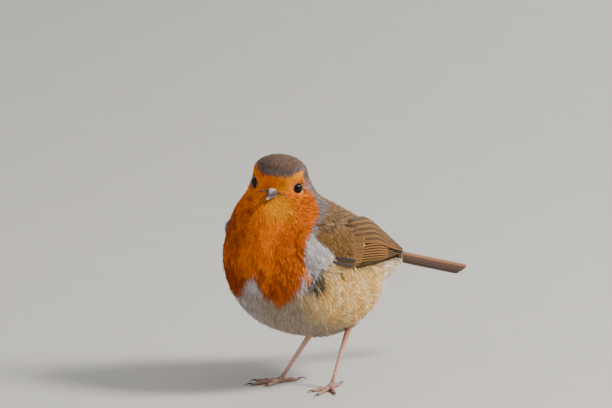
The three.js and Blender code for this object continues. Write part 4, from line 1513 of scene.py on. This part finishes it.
@dataclass
class Coat:
    """The body's small feathers, sown over the skin and combed along the lie of the coat."""

    bed: Surface
    combing: Combing = Combing()
    face_spacing: float = 0.32
    head_spacing: float = 0.46
    body_spacing: float = 0.69
    wing_spacing: float = 0.55
    seed: int = 11

    def sow(self, skin: Object) -> tuple[Array, Array, Array]:
        """Scatters evenly spaced roots over the feathered skin.

        Args:
            skin: The skin, with its unwrap.

        Returns:
            Roots, their normals and their places on the unwrap.
        """
        rng = np.random.default_rng(self.seed)
        mesh = skin.data
        mesh.calc_loop_triangles()
        triangles = np.empty(len(mesh.loop_triangles) * 3, np.int32)
        loops = triangles.copy()
        mesh.loop_triangles.foreach_get("vertices", triangles)
        mesh.loop_triangles.foreach_get("loops", loops)
        triangles, loops = triangles.reshape(-1, 3), loops.reshape(-1, 3)
        flat = np.empty(len(mesh.loops) * 2, np.float32)
        mesh.uv_layers["OFBake"].data.foreach_get("uv", flat)
        unwrap = flat.reshape(-1, 2)
        points, normals = coordinates(skin), vertex_normals(skin)
        bare = np.empty(len(mesh.vertices), np.float32)
        mesh.attributes["bare"].data.foreach_get("value", bare)
        feathered = bare[triangles].max(1) < 0.5
        triangles, loops = triangles[feathered], loops[feathered]
        corners = points[triangles]
        edges = corners[:, 1:] - corners[:, :1]
        area = np.linalg.norm(np.cross(edges[:, 0], edges[:, 1]), axis=1) / 2
        spacing = self.spacing(corners.mean(1))
        wanted = rng.poisson(area / spacing ** 2 * 4.0)
        pick = np.repeat(np.arange(len(area)), wanted)
        first, second = rng.uniform(size=(2, len(pick)))
        over = first + second > 1
        first[over], second[over] = 1 - first[over], 1 - second[over]
        weights = np.stack([1 - first - second, first, second], -1)[..., None]
        roots = np.sum(corners[pick] * weights, 1)
        facing = unit(np.sum(normals[triangles[pick]] * weights, 1))
        places = np.sum(unwrap[loops[pick]] * weights, 1)
        grid = np.floor(roots / self.spacing(roots)[:, None]).astype(np.int64)
        tag = np.round(self.spacing(roots) * 100).astype(np.int64)
        _, keep = np.unique(np.concatenate([grid, tag[:, None]], 1), axis=0, return_index=True)
        keep = np.sort(keep)
        return roots[keep], facing[keep], places[keep]

    def spacing(self, points: Array) -> Array:
        """How far apart the roots stand: closest on the face."""
        away = np.linalg.norm(points - BILL_BASE, axis=1)
        x, y, z = points.T
        back = (np.abs(x) > 9.0) & (z > 49.0) & (y > -16.0) & (y < 26.0)
        spacing = np.where(back, self.wing_spacing, self.body_spacing)
        return np.where(away < 8.0, self.face_spacing, np.where(away < 24.0, self.head_spacing, spacing))

    @staticmethod
    def zone_of(points: Array, on_arm: Array) -> Array:
        """The coat piece that each tuft belongs to, as a number in the order of Zone."""
        x, y, z = points.T
        _, forward, up = HEAD.read(points).T
        order = list(Zone)
        away = np.linalg.norm(points - BILL_BASE, axis=1)
        tests = [
            (on_arm & (x > 0), Zone.ARM_LEFT),
            (on_arm, Zone.ARM_RIGHT),
            ((away < 9.5) & (up < 5.0) & (up > -6.0), Zone.FACE),
            ((up > 0.0) & (z > 80), Zone.CROWN),
            ((up > -9.0) & (forward > -2.0) & (z > 72), Zone.THROAT),
            ((z > 70) & (y > -22) & (x > 0), Zone.NAPE_LEFT),
            ((z > 70) & (y > -22), Zone.NAPE_RIGHT),
            ((z > 47) & (y < -18) & (x > 0), Zone.BREAST_LEFT),
            ((z > 47) & (y < -18), Zone.BREAST_RIGHT),
            ((z > along_line(y, Markings.BACK_LINE)) & (y < 28), Zone.MANTLE),
            ((z > along_line(y, Markings.BACK_LINE)) & (y >= 28), Zone.RUMP),
            (y > 24, Zone.VENT),
            ((z < 40) & (x > 0), Zone.BELLY_LEFT),
            ((z < 40), Zone.BELLY_RIGHT),
            (x > 0, Zone.FLANK_LEFT),
            (x <= 0, Zone.FLANK_RIGHT),
        ]
        zones = np.full(len(points), -1)
        for test, zone in tests:
            zones[(zones < 0) & test] = order.index(zone)
        return zones

    def comb(self, roots: Array, normals: Array, places: Array) -> tuple[Tufts, Array]:
        """Lays each tuft along the coat and drops those that would show where no feather grows.

        Args:
            roots: Roots on the skin.
            normals: The skin's normals there.
            places: The roots' places on the unwrap.

        Returns:
            The tufts, and which of them grow on the wing arms.
        """
        rng = np.random.default_rng(self.seed + 1)
        how, count = self.combing, len(roots)
        on_arm = np.linalg.norm(OUTLINE["arm"].nearest(roots)[0] - roots, axis=1) < how.arm_gap
        on_wing = on_arm | OUTLINE["wings"].meets(roots, normals, how.under_wing)
        lie = lie_of_coat(roots, normals)
        swing = np.radians(rng.normal(0, how.swing, count))[:, None]
        lie = unit(lie * np.cos(swing) + np.cross(normals, lie) * np.sin(swing))
        length = MEASURE.at(roots, MEASURE.length) * rng.uniform(*how.length_spread, count)
        length = np.where(on_wing, length * how.wing_length, length)
        outer = OUTLINE["body"].nearest(roots)[0]
        depth = np.minimum(np.linalg.norm(outer - roots, axis=1), MEASURE.at(roots, MEASURE.depth))
        tip, tip_normal = OUTLINE["body"].nearest(roots + lie * length[:, None])
        rise = self.rise(rng, roots, tip) - depth * rng.uniform(*how.sink, count)
        tip = tip + tip_normal * rise[:, None]
        over, over_normal = self.bed.nearest(roots)
        over_tip, over_tip_normal = self.bed.nearest(over + lie * length[:, None])
        proud = np.linalg.norm(over - outer, axis=1) > how.proud
        proud &= (roots[:, 1] > how.wing_front) & (roots[:, 2] > how.wing_low)
        cover = (on_wing | proud)[:, None]
        wing_rise = rng.uniform(*how.wing_rise, count)[:, None]
        roots = np.where(cover, over + over_normal * 0.05, roots)
        normals = np.where(cover, over_normal, normals)
        tip = np.where(cover, over_tip + over_tip_normal * wing_rise, tip)
        tip_normal = np.where(cover, over_tip_normal, tip_normal)
        depth = np.where(cover[:, 0], how.wing_depth, depth)
        along, down = Wing.read(tip)
        edge = lerp(*how.covert_edge, smoothstep(0.42, 0.05, down)) + rng.normal(0, how.covert_noise, count)
        roots, tip, keep = self.clear_of_face(roots, tip)
        keep &= ~on_wing | (along < edge)
        middle = lerp(roots, tip, 0.65)
        base = MARKINGS.colour(middle + rng.normal(0, how.colour_spread, middle.shape))
        tone = 1.0 + 0.09 * waves(middle, 5.0, 21) + rng.normal(0, how.tone_spread, count)
        tufts = Tufts(roots - normals * 0.08, normals, tip, tip_normal, length,
                      MEASURE.at(roots, MEASURE.blade), depth * 0.55, base * tone[:, None], places)
        return tufts.part(keep), on_arm[keep]

    def rise(self, rng: np.random.Generator, roots: Array, tips: Array) -> Array:
        """How far tips stand off the coat: a few loose ones everywhere, and all of them at the wrist."""
        how, count = self.combing, len(roots)
        loose = np.where(rng.uniform(size=count) < how.loose_part, rng.uniform(*how.loose_rise, count), 0.0)
        loose = loose * smoothstep(20.0, 34.0, np.linalg.norm(roots - BILL_BASE, axis=1))
        wrist = np.linalg.norm((tips - MARKINGS.WRIST) / MARKINGS.WRIST_SIZE, axis=1)
        return loose + how.wrist_rise * (1.0 - smoothstep(0.6, 1.2, wrist))

    def clear_of_face(self, roots: Array, tips: Array) -> tuple[Array, Array, Array]:
        """Opens the coat round the eyes and in front of the bill.

        Args:
            roots: Where the tufts grow.
            tips: Where they end.

        Returns:
            Roots and tips moved off the eyeballs, and which tufts stay.
        """
        how = self.combing
        keep = np.ones(len(roots), bool)
        for side in SIDES:
            eye = SPACE.centre(f"eye_{side}")
            for share in (0.0, 0.35, 0.7, 1.0):
                away = lerp(roots, tips, share) - eye
                clear = np.linalg.norm(away, axis=1) > how.eye_opening
                keep &= clear | (unit(away) @ gaze(side) < how.eye_cone)
            tips = pushed_out(tips, eye, how.eye_clearance)
            roots = pushed_out(roots, eye, EYE_RADIUS)
        side, forward, up = HEAD.read(tips).T
        on_bill = (forward > 10.6) & (np.abs(side) < 2.3) & (np.abs(up + 3.2) < 2.4)
        return roots, tips, keep & ~on_bill

    def make(self, skin: Object) -> list[Object]:
        """Builds the coat's pieces."""
        tufts, on_arm = self.comb(*self.sow(skin))
        zones = self.zone_of(lerp(tufts.root, tufts.tip, 0.5), on_arm)
        finish = CoatFinish().make()
        loom = Loom(TuftShape(), self.seed + 2)
        made = []
        for index, zone in enumerate(Zone):
            rows = np.flatnonzero(zones == index)
            if len(rows) == 0:
                continue
            item = loom.weave(zone.value, tufts.part(rows))
            dress(item, finish)
            made.append(item)
        return made


# ------------------------------------------------------------------ wings and tail


@dataclass(frozen=True)
class Vane:
    """One large feather: its centre line on a surface and its measures."""

    line: Array
    normals: Array
    outer: float
    inner: float
    lift: float
    droop: float = 0.25
    blunt: float = 0.2
    tone: float = 1.0
    flip: float = 1.0
    spot: float = 1.0
    curl: float = 0.0


class VaneLoom:
    """Builds vanes as thin closed blades with a raised shaft, side by side in one mesh."""

    ACROSS = np.array([-1.0, -0.82, -0.45, -0.07, 0.0, 0.07, 0.45, 0.82, 1.0])
    ROWS = 15
    THICK = 0.09
    SHAFT = 0.07

    def __init__(self, surface: Surface | None) -> None:
        self.surface = surface

    def blade(self, vane: Vane) -> tuple[Array, dict[str, Array]]:
        """One vane's top and bottom grids, with what its material reads.

        Args:
            vane: The feather.

        Returns:
            Points, (2, rows, columns, 3), and the values of along, across, barb, tint and spot.
        """
        share = np.sin(np.linspace(0, np.pi / 2, self.ROWS)) ** 0.9
        ends = np.linspace(0, 1, len(vane.line))
        line = np.stack([np.interp(share, ends, vane.line[:, k]) for k in range(3)], -1)
        normals = unit(np.stack([np.interp(share, ends, vane.normals[:, k]) for k in range(3)], -1))
        run = unit(np.gradient(line, axis=0))
        across = unit(np.cross(run, normals)) * vane.flip
        tip = np.clip((share - (1 - vane.blunt)) / vane.blunt, 0, 1)
        width = (0.45 + 0.55 * smoothstep(0.0, 0.35, share)) * np.sqrt(np.maximum(1 - tip ** 2, 0.0016))
        reach = np.where(self.ACROSS > 0, vane.outer, vane.inner) * self.ACROSS
        sideways = width[:, None] * reach
        points = line[:, None] + across[:, None] * sideways[..., None]
        facing = np.repeat(normals[:, None], len(self.ACROSS), 1)
        if self.surface is not None:
            flat, soft = self.surface.nearest(points.reshape(-1, 3))
            points, facing = flat.reshape(points.shape), soft.reshape(points.shape)
        camber = -vane.droop * self.ACROSS ** 2 - vane.curl * sideways ** 2
        height = vane.lift + camber - 0.3 * vane.droop * smoothstep(0.8, 1.0, share)[:, None]
        ridge = np.where(np.abs(self.ACROSS) < 0.01, self.SHAFT, 0.0) * (1 - share[:, None] * 0.8)
        top = points + facing * (height + ridge)[..., None]
        bottom = points + facing * (height - self.THICK)[..., None]
        length = np.linalg.norm(vane.line[-1] - vane.line[0])
        values = {
            "along": np.broadcast_to(share[:, None], sideways.shape),
            "across": np.broadcast_to(self.ACROSS, sideways.shape),
            "barb": share[:, None] * length - np.abs(sideways) * 1.1,
            "tint": np.full(sideways.shape, vane.tone),
            "spot": np.full(sideways.shape, vane.spot),
        }
        return np.stack([top, bottom]), {name: np.stack([value, value]) for name, value in values.items()}

    def build(self, name: str, vanes: Sequence[Vane]) -> Object:
        """All the vanes as one piece, each with its own cell of the OFBake map."""
        rows, columns = self.ROWS, len(self.ACROSS)
        per_side = rows * columns
        grid = np.arange(per_side).reshape(rows, columns)
        top = np.stack([grid[:-1, :-1], grid[:-1, 1:], grid[1:, 1:], grid[1:, :-1]], -1).reshape(-1, 4)
        rim = np.concatenate([grid[0, :-1], grid[:-1, -1], grid[-1, :0:-1], grid[:0:-1, 0]])
        ahead = np.roll(rim, -1)
        edge = np.stack([rim, rim + per_side, ahead + per_side, ahead], -1)
        faces = np.concatenate([top, top[:, ::-1] + per_side, edge])
        points, quads, places = [], [], []
        values: dict[str, list] = {}
        cells = math.ceil(math.sqrt(2 * len(vanes)))
        for index, vane in enumerate(vanes):
            shape, held = self.blade(vane)
            quads.append(faces + index * 2 * per_side)
            points.append(shape.reshape(-1, 3))
            for label, value in held.items():
                values.setdefault(label, []).append(value.ravel())
            for face in range(2):
                cell = np.array(divmod(2 * index + face, cells), float)
                local = np.stack([held["across"][0] * 0.45 + 0.5, held["along"][0] * 0.9 + 0.05], -1)
                places.append(((cell + local) / cells).reshape(-1, 2))
        item = mesh_from_arrays(name, np.concatenate(points), np.concatenate(quads), np.empty((0, 3), int))
        for label, value in values.items():
            float_attribute(item, label, np.concatenate(value))
        corner_map(item, "OFBake", np.concatenate(places))
        in_edit_mode(item, lambda: bpy.ops.mesh.normals_make_consistent(inside=False))
        smooth_shade(item)
        return item


@dataclass
class Wing:
    """A folded wing: coverts over stacked tertials, secondaries and primaries."""

    side: str
    surface: Surface

    SPINE = (
        (-23.5, 63.5, 15.0, 1.0), (-20.0, 62.5, 24.0, -5.0), (-9.0, 60.0, 31.0, -8.0),
        (3.0, 57.5, 38.0, -9.0), (15.0, 55.0, 50.0, -5.0), (27.0, 53.0, 64.0, -3.0),
        (38.0, 51.0, 62.0, 4.0), (48.0, 49.5, 34.0, 16.0),
    )

    def place(self, along: Array, across: Array) -> tuple[Array, Array]:
        """Places on the folded wing.

        Args:
            along: Shares from the wrist to the tip.
            across: Shares from the upper edge to the lower one.

        Returns:
            Places on the wing's outer surface, and the normals there.
        """
        table = np.array(self.SPINE)
        station = np.clip(along, 0, 1) * (len(table) - 1)
        y, z, high, low = (np.interp(station, np.arange(len(table)), table[:, k]) for k in range(4))
        angle = np.radians(lerp(high, low, across))
        sign = SIDES[self.side]
        outward = np.stack([sign * np.cos(angle), np.zeros_like(angle), np.sin(angle)], -1)
        origin = np.stack([np.zeros_like(y), y, z], -1)
        return self.surface.nearest(self.surface.outermost(origin, outward))

    @classmethod
    def read(cls, points: Array) -> tuple[Array, Array]:
        """Shares along and across the folded wing that places lie at or beside.

        Args:
            points: Places in bird millimetres, (n, 3).

        Returns:
            Shares from the wrist to the tip, and from the upper edge to the lower one.
        """
        y, z, high, low = np.array(cls.SPINE).T
        along = np.interp(points[:, 1], y, np.linspace(0, 1, len(y)))
        angle = np.degrees(np.arctan2(points[:, 2] - np.interp(points[:, 1], y, z), np.abs(points[:, 0])))
        top, bottom = np.interp(points[:, 1], y, high), np.interp(points[:, 1], y, low)
        return along, (top - angle) / (top - bottom)

    def vane(self, start: tuple[float, float], end: tuple[float, float], bow: float = 0.0,
             **measures: float) -> Vane:
        """A vane between two places on the wing, bowed a little towards its lower edge."""
        share = np.linspace(0, 1, 9)
        along = lerp(start[0], end[0], share)
        across = lerp(start[1], end[1], share) + bow * np.sin(np.pi * share)
        line, normals = self.place(along, across)
        return Vane(line=line, normals=normals, flip=SIDES[self.side], **measures)

    def fan(self, count: int, start: Callable, end: Callable, lift: tuple[float, float], outer: float,
            inner: float, tones: Callable = lambda share: 1.0, spots: Sequence[int] = (),
            **measures: float) -> list[Vane]:
        """A row of vanes, each under the one above it.

        Args:
            count: How many.
            start: The root's place on the wing for a share of the row from the top down.
            end: The tip's place in the same way.
            lift: How far the first and the last stand off the wing.
            outer: Width of the lower web.
            inner: Width of the upper, covered web.
            tones: Lightness for a share of the row.
            spots: The vanes with a pale tip.
            measures: Other fields of Vane.

        Returns:
            The vanes from the top down.
        """
        made = []
        rng = np.random.default_rng(count + int(outer * 100))
        for index in range(count):
            share = index / max(count - 1, 1)
            tone = float(tones(share) * rng.uniform(0.92, 1.08))
            height = float(lerp(lift[0], lift[1], share))
            made.append(self.vane(start(share), end(share), outer=outer, inner=inner, lift=height,
                                  tone=tone, spot=float(index in spots), **measures))
        return made

    def median_coverts(self) -> list[Vane]:
        """A short row over the greater coverts, mostly under the soft lesser ones."""
        return self.fan(8, lambda s: (0.35, 0.26 + 0.6 * s), lambda s: (0.485 - 0.02 * s, 0.28 + 0.62 * s),
                        (0.2, 0.12), 1.8, 2.2, blunt=0.5, droop=0.08)

    def greater_coverts(self) -> list[Vane]:
        """The row that ends over the secondaries, two of its tips spotted."""
        return self.fan(9, lambda s: (0.4, 0.24 + 0.56 * s), lambda s: (0.575 - 0.05 * s, 0.27 + 0.6 * s),
                        (0.1, 0.02), 1.45, 2.2, blunt=0.35, droop=0.06, spots=(2, 4))

    def alula(self) -> list[Vane]:
        """The thumb's feathers, dark along the wing's lower front edge, and the primary coverts."""
        thumb = self.fan(2, lambda s: (0.29 - 0.02 * s, 0.78 + 0.09 * s),
                         lambda s: (0.46 - 0.03 * s, 0.84 + 0.1 * s),
                         (0.5, 0.42), 0.95, 0.9, lambda s: 0.6 + 0.6 * s, blunt=0.5, droop=0.1)
        hand = self.fan(4, lambda s: (0.38, 0.8 + 0.06 * s), lambda s: (0.53 - 0.02 * s, 0.8 + 0.14 * s),
                        (-0.1, -0.25), 1.2, 1.8, lambda s: 2.1 - 0.6 * s, blunt=0.4, droop=0.06)
        return thumb + hand

    def tertials(self) -> list[Vane]:
        """Broad feathers that cover the folded wing's upper part, their tips stepped along its edge."""
        return self.fan(5, lambda s: (0.46, 0.06 + 0.38 * s), lambda s: (0.87 + 0.09 * s, 0.06 + 0.5 * s),
                        (0.34, 0.02), 2.2, 3.0, lambda s: 0.92 + 0.1 * math.sin(9 * s), blunt=0.5, droop=0.03)

    def secondaries(self) -> list[Vane]:
        """Seven stacked feathers whose golden outer edges show as stripes."""
        return self.fan(7, lambda s: (0.4, 0.53 + 0.3 * s), lambda s: (0.8 + 0.02 * s, 0.57 + 0.32 * s),
                        (-0.25, -0.8), 1.35, 3.6, lambda s: 1.0 - 0.25 * s, blunt=0.12, droop=0.02)

    def primaries(self) -> list[Vane]:
        """Seven long feathers along the lower edge, whose tips step out behind."""
        reach = ((0.0, 0.85), (0.35, 0.93), (0.75, 1.0), (1.0, 0.96))
        return self.fan(7, lambda s: (0.4, 0.86 + 0.15 * s), lambda s: (along_line(s, reach), 0.6 + 0.3 * s),
                        (-0.88, -1.3), 1.15, 2.6, lambda s: 0.9 if s < 0.3 else 0.42, blunt=0.16, droop=0.02)

    def make(self, finishes: dict[str, Material]) -> dict[str, Object]:
        """Builds the wing's pieces, by the CAD node that each replaces."""
        loom = VaneLoom(self.surface)
        rows = {
            "coverts": self.greater_coverts, "median": self.median_coverts, "alula": self.alula,
            "tertials": self.tertials, "secondaries": self.secondaries, "primaries": self.primaries,
        }
        made = {}
        for name, row in rows.items():
            made[name] = loom.build(f"{row.__name__}_{self.side}", row())
            dress(made[name], finishes[name])
        return made


@dataclass
class Tail:
    """Twelve stacked tail feathers on a steep roof, the middle pair on top and longest."""

    root: tuple = (0.0, 37.0, 54.0)
    tip: tuple = (0.0, 88.2, 39.3)
    half_width: tuple = ((0.0, 4.8), (0.5, 5.4), (1.0, 5.2))
    camber: float = 4.2
    ridge: float = 0.18
    step: float = 11.0
    notch: float = 0.5

    def line(self, offset: float) -> tuple[Array, Array]:
        """A feather's centre line on the roof.

        Args:
            offset: Its place across the tail, from -1 to 1.

        Returns:
            Places along it, and the roof's normals there.
        """
        root, tip = np.array(self.root), np.array(self.tip)
        run = unit(tip - root)
        share = np.linspace(0, 1, 11)
        half = along_line(share, self.half_width)
        short = self.step * offset ** 2 * share ** 2 + self.notch * (1 - abs(offset)) * share ** 8
        path = lerp(root, tip, share[:, None]) - run * short[:, None]
        path[:, 0] += offset * half
        path[:, 2] += self.camber * (self.ridge - offset ** 2)
        slope = 2 * self.camber * offset / half
        up = np.cross(run, np.array([-1.0, 0.0, 0.0]))
        up = up if up[2] > 0 else -up
        return path, unit(up + slope[:, None] * np.array([1.0, 0.0, 0.0]))

    def make(self, finish: Material) -> Object:
        """Builds the tail, with painted shade on its outer pairs."""
        vanes = []
        for pair in range(6):
            for sign in (1.0, -1.0):
                path, normals = self.line(sign * (0.1 + 0.75 * pair / 5))
                # Painted shade: the four outer pairs, lower in the stack, are darkened.
                tone = 1.0 if pair < 2 else 0.34 - 0.05 * pair
                vanes.append(Vane(
                    line=path, normals=normals, outer=1.15, inner=2.7, curl=self.camber / 36.0,
                    lift=0.6 - 0.17 * pair - (0.06 if sign < 0 else 0.0), droop=0.02, blunt=0.09,
                    tone=tone, flip=sign))
        item = VaneLoom(None).build("tail_feathers", vanes)
        dress(item, finish)
        return item


# ------------------------------------------------------------------ studio


@dataclass
class Studio:
    """A pale floor, soft lights and the camera."""

    azimuth: float = 50.0
    elevation: float = 11.0
    lens: float = 400.0
    sensor: float = 36.0
    image_width: int = 612
    scale: float = 0.42  # millimetres in one pixel
    aim_right: float = -0.84
    aim_up: float = 76.44
    floor_size: float = 14.0
    lamp_distance: float = 1.5
    breast_height: float = 55.0
    sky: float = 0.38

    def axes(self) -> tuple[Array, Array, Array]:
        """The camera's right, its up, and the way from the bird towards it."""
        turn, rise = math.radians(self.azimuth), math.radians(self.elevation)
        right = np.array([math.cos(turn), math.sin(turn), 0.0])
        back = np.array([math.sin(turn) * math.cos(rise), -math.cos(turn) * math.cos(rise), math.sin(rise)])
        return right, np.cross(back, right), back

    def camera(self) -> None:
        """Places the camera."""
        right, up, back = self.axes()
        distance = self.image_width * self.scale * self.lens / self.sensor
        target = right * self.aim_right + up * self.aim_up
        lens = bpy.data.cameras.new("camera")
        lens.lens, lens.sensor_width = self.lens, self.sensor
        lens.clip_start, lens.clip_end = 0.05, 50.0
        item = linked("camera", lens)
        item.location = SPACE.to_scene(target + back * distance)
        item.rotation_euler = Vector(back).to_track_quat("Z", "Y").to_euler()
        bpy.context.scene.camera = item

    def light(self, name: str, way: tuple[float, float, float], size: float, power: float,
              colour: tuple[float, float, float]) -> None:
        """One square lamp, aimed at the bird's breast from a way given as right, up and back."""
        right, up, back = self.axes()
        direction = unit(way[0] * right + way[1] * up + way[2] * back)
        lamp = bpy.data.lights.new(name, "AREA")
        lamp.shape, lamp.size, lamp.energy, lamp.color = "SQUARE", size, power, colour
        item = linked(name, lamp)
        target = SPACE.to_scene(np.array([0.0, 0.0, self.breast_height]))
        item.location = target + direction * self.lamp_distance
        item.rotation_euler = Vector(direction).to_track_quat("Z", "Y").to_euler()

    def floor(self) -> None:
        """A plain pale floor."""
        deselect_all()
        bpy.ops.mesh.primitive_plane_add(size=self.floor_size)
        item = bpy.context.object
        item.name = "floor"
        material, sheet, shader = new_material("floor", Roughness=0.85, Specular_IOR_Level=0.2)
        noise = sheet.add("TexNoise", {"Vector": sheet.object_place(), "Scale": 60.0, "Detail": 3.0})
        colour = sheet.mix(noise.outputs[0], solid("#bdbab4"), solid("#c4c1bb"))
        sheet.feed(shader, "Base Color", colour)
        dress(item, material)

    def world(self) -> None:
        """An even pale sky."""
        world = bpy.data.worlds.new("studio")
        world.use_nodes = True
        background = world.node_tree.nodes["Background"]
        background.inputs["Color"].default_value = (0.93, 0.95, 1.0, 1.0)
        background.inputs["Strength"].default_value = self.sky
        bpy.context.scene.world = world

    def make(self) -> None:
        """Sets the studio up."""
        self.camera()
        self.floor()
        self.world()
        self.light("key", (1.0, 0.85, 0.5), 0.4, 37.0, (1.0, 0.965, 0.91))
        self.light("front", (0.3, 1.3, 0.7), 0.6, 3.0, (1.0, 0.97, 0.92))
        self.light("fill", (-1.0, 0.3, 0.8), 1.2, 3.5, (1.0, 0.97, 0.94))
        self.light("rim", (0.5, 0.8, -1.0), 0.8, 8.0, (1.0, 0.98, 0.95))


# ------------------------------------------------------------------ the bird


def settle(item: Object, slot: str, nodes: Iterable[str] = ()) -> None:
    """Makes a piece ride with the bird, hides the CAD nodes it replaces, and logs its triangles and slot."""
    nodes = tuple(nodes)
    if nodes:
        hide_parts(*nodes)
    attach(item, "root")
    item.data.calc_loop_triangles()
    LOG.info("%s: %d triangles, slot %s", item.name, len(item.data.loop_triangles), slot)


def wing_finishes() -> dict[str, Material]:
    """The finishes of each row of wing feathers."""
    finishes = (
        VaneFinish("coverts", "#6f4d27", "#835e2f", shaft="#4a331c", tip_from=0.94, tip="#dfa950"),
        VaneFinish("median", "#6f4d27", "#7d5a2e", shaft="#553b20"),
        VaneFinish("alula", "#352a24", "#4d3a28"),
        # The tertials' web is dark next to the shaft and fades to the fringe: partly their own colour, partly
        # painted shadow under the edge of the feather above.
        VaneFinish("tertials", "#50361c", "#7c5527", shaft="#40301c", fringe_from=0.1, fringe_to=0.7),
        VaneFinish("secondaries", "#24180e", "#a26d2b", fringe_from=0.52, fringe_to=0.7),
        VaneFinish("primaries", "#2f2723", "#a57c3f", fringe_from=0.6, fringe_to=0.85),
    )
    return {finish.name: finish.make() for finish in finishes}


def measure_forms() -> None:
    """Stores the CAD's wing arms, whole wings, and flesh with wings as the surfaces that pieces lie on."""
    wing_nodes = [f"wing_{part}_{side}" for part in WING_PARTS for side in SIDES]
    arms = [fused([f"wing_coverts_{side}"], f"arm_{side}", voxel=0.8, smooth=4) for side in SIDES]
    forms = {
        "arm": join(arms, "arm"),
        "wings": fused(wing_nodes, "wings", voxel=0.5, smooth=2),
        "bed": fused([*FLESH, *wing_nodes], "bed", voxel=0.8, smooth=10),
    }
    for name, form in forms.items():
        OUTLINE[name] = Surface(form)
        bpy.data.objects.remove(form)


def main() -> None:
    """Builds the bird and its studio."""
    logging.basicConfig(level=logging.INFO, format="%(message)s")
    Studio().make()
    measure_forms()
    skin = Skin().make()
    bare_nodes = [f"{part}_{side}" for side in SIDES for part in ("tarsus", "foot")]
    bare_nodes += [f"toe_{toe}_{side}" for side in SIDES for toe in TOES]
    settle(skin, "plumage", [*FLESH, *bare_nodes])
    face = Face()
    for node, item in face.make().items():
        settle(item, "eye" if node.startswith("eye") else "bill", [node])
    bristles = face.bristles()
    dress(bristles, HornFinish("bristle", "#241a15", "#241a15", 0.6).make())
    settle(bristles, "bill")
    for node, item in Claws().make().items():
        settle(item, "claw", [node])
    finishes = wing_finishes()
    for side in SIDES:
        for part, item in Wing(side, OUTLINE["bed"]).make(finishes).items():
            settle(item, "wing_feathers", [f"wing_{part}_{side}"] if part in WING_PARTS else [])
    tail = Tail().make(VaneFinish("tail", "#83563a", "#a67452", fringe_from=0.2, fringe_to=0.8).make())
    settle(tail, "tail_feathers", ["tail"])
    for item in Coat(OUTLINE["bed"]).make(skin):
        settle(item, "plumage")


if __name__ == "__main__":
    main()
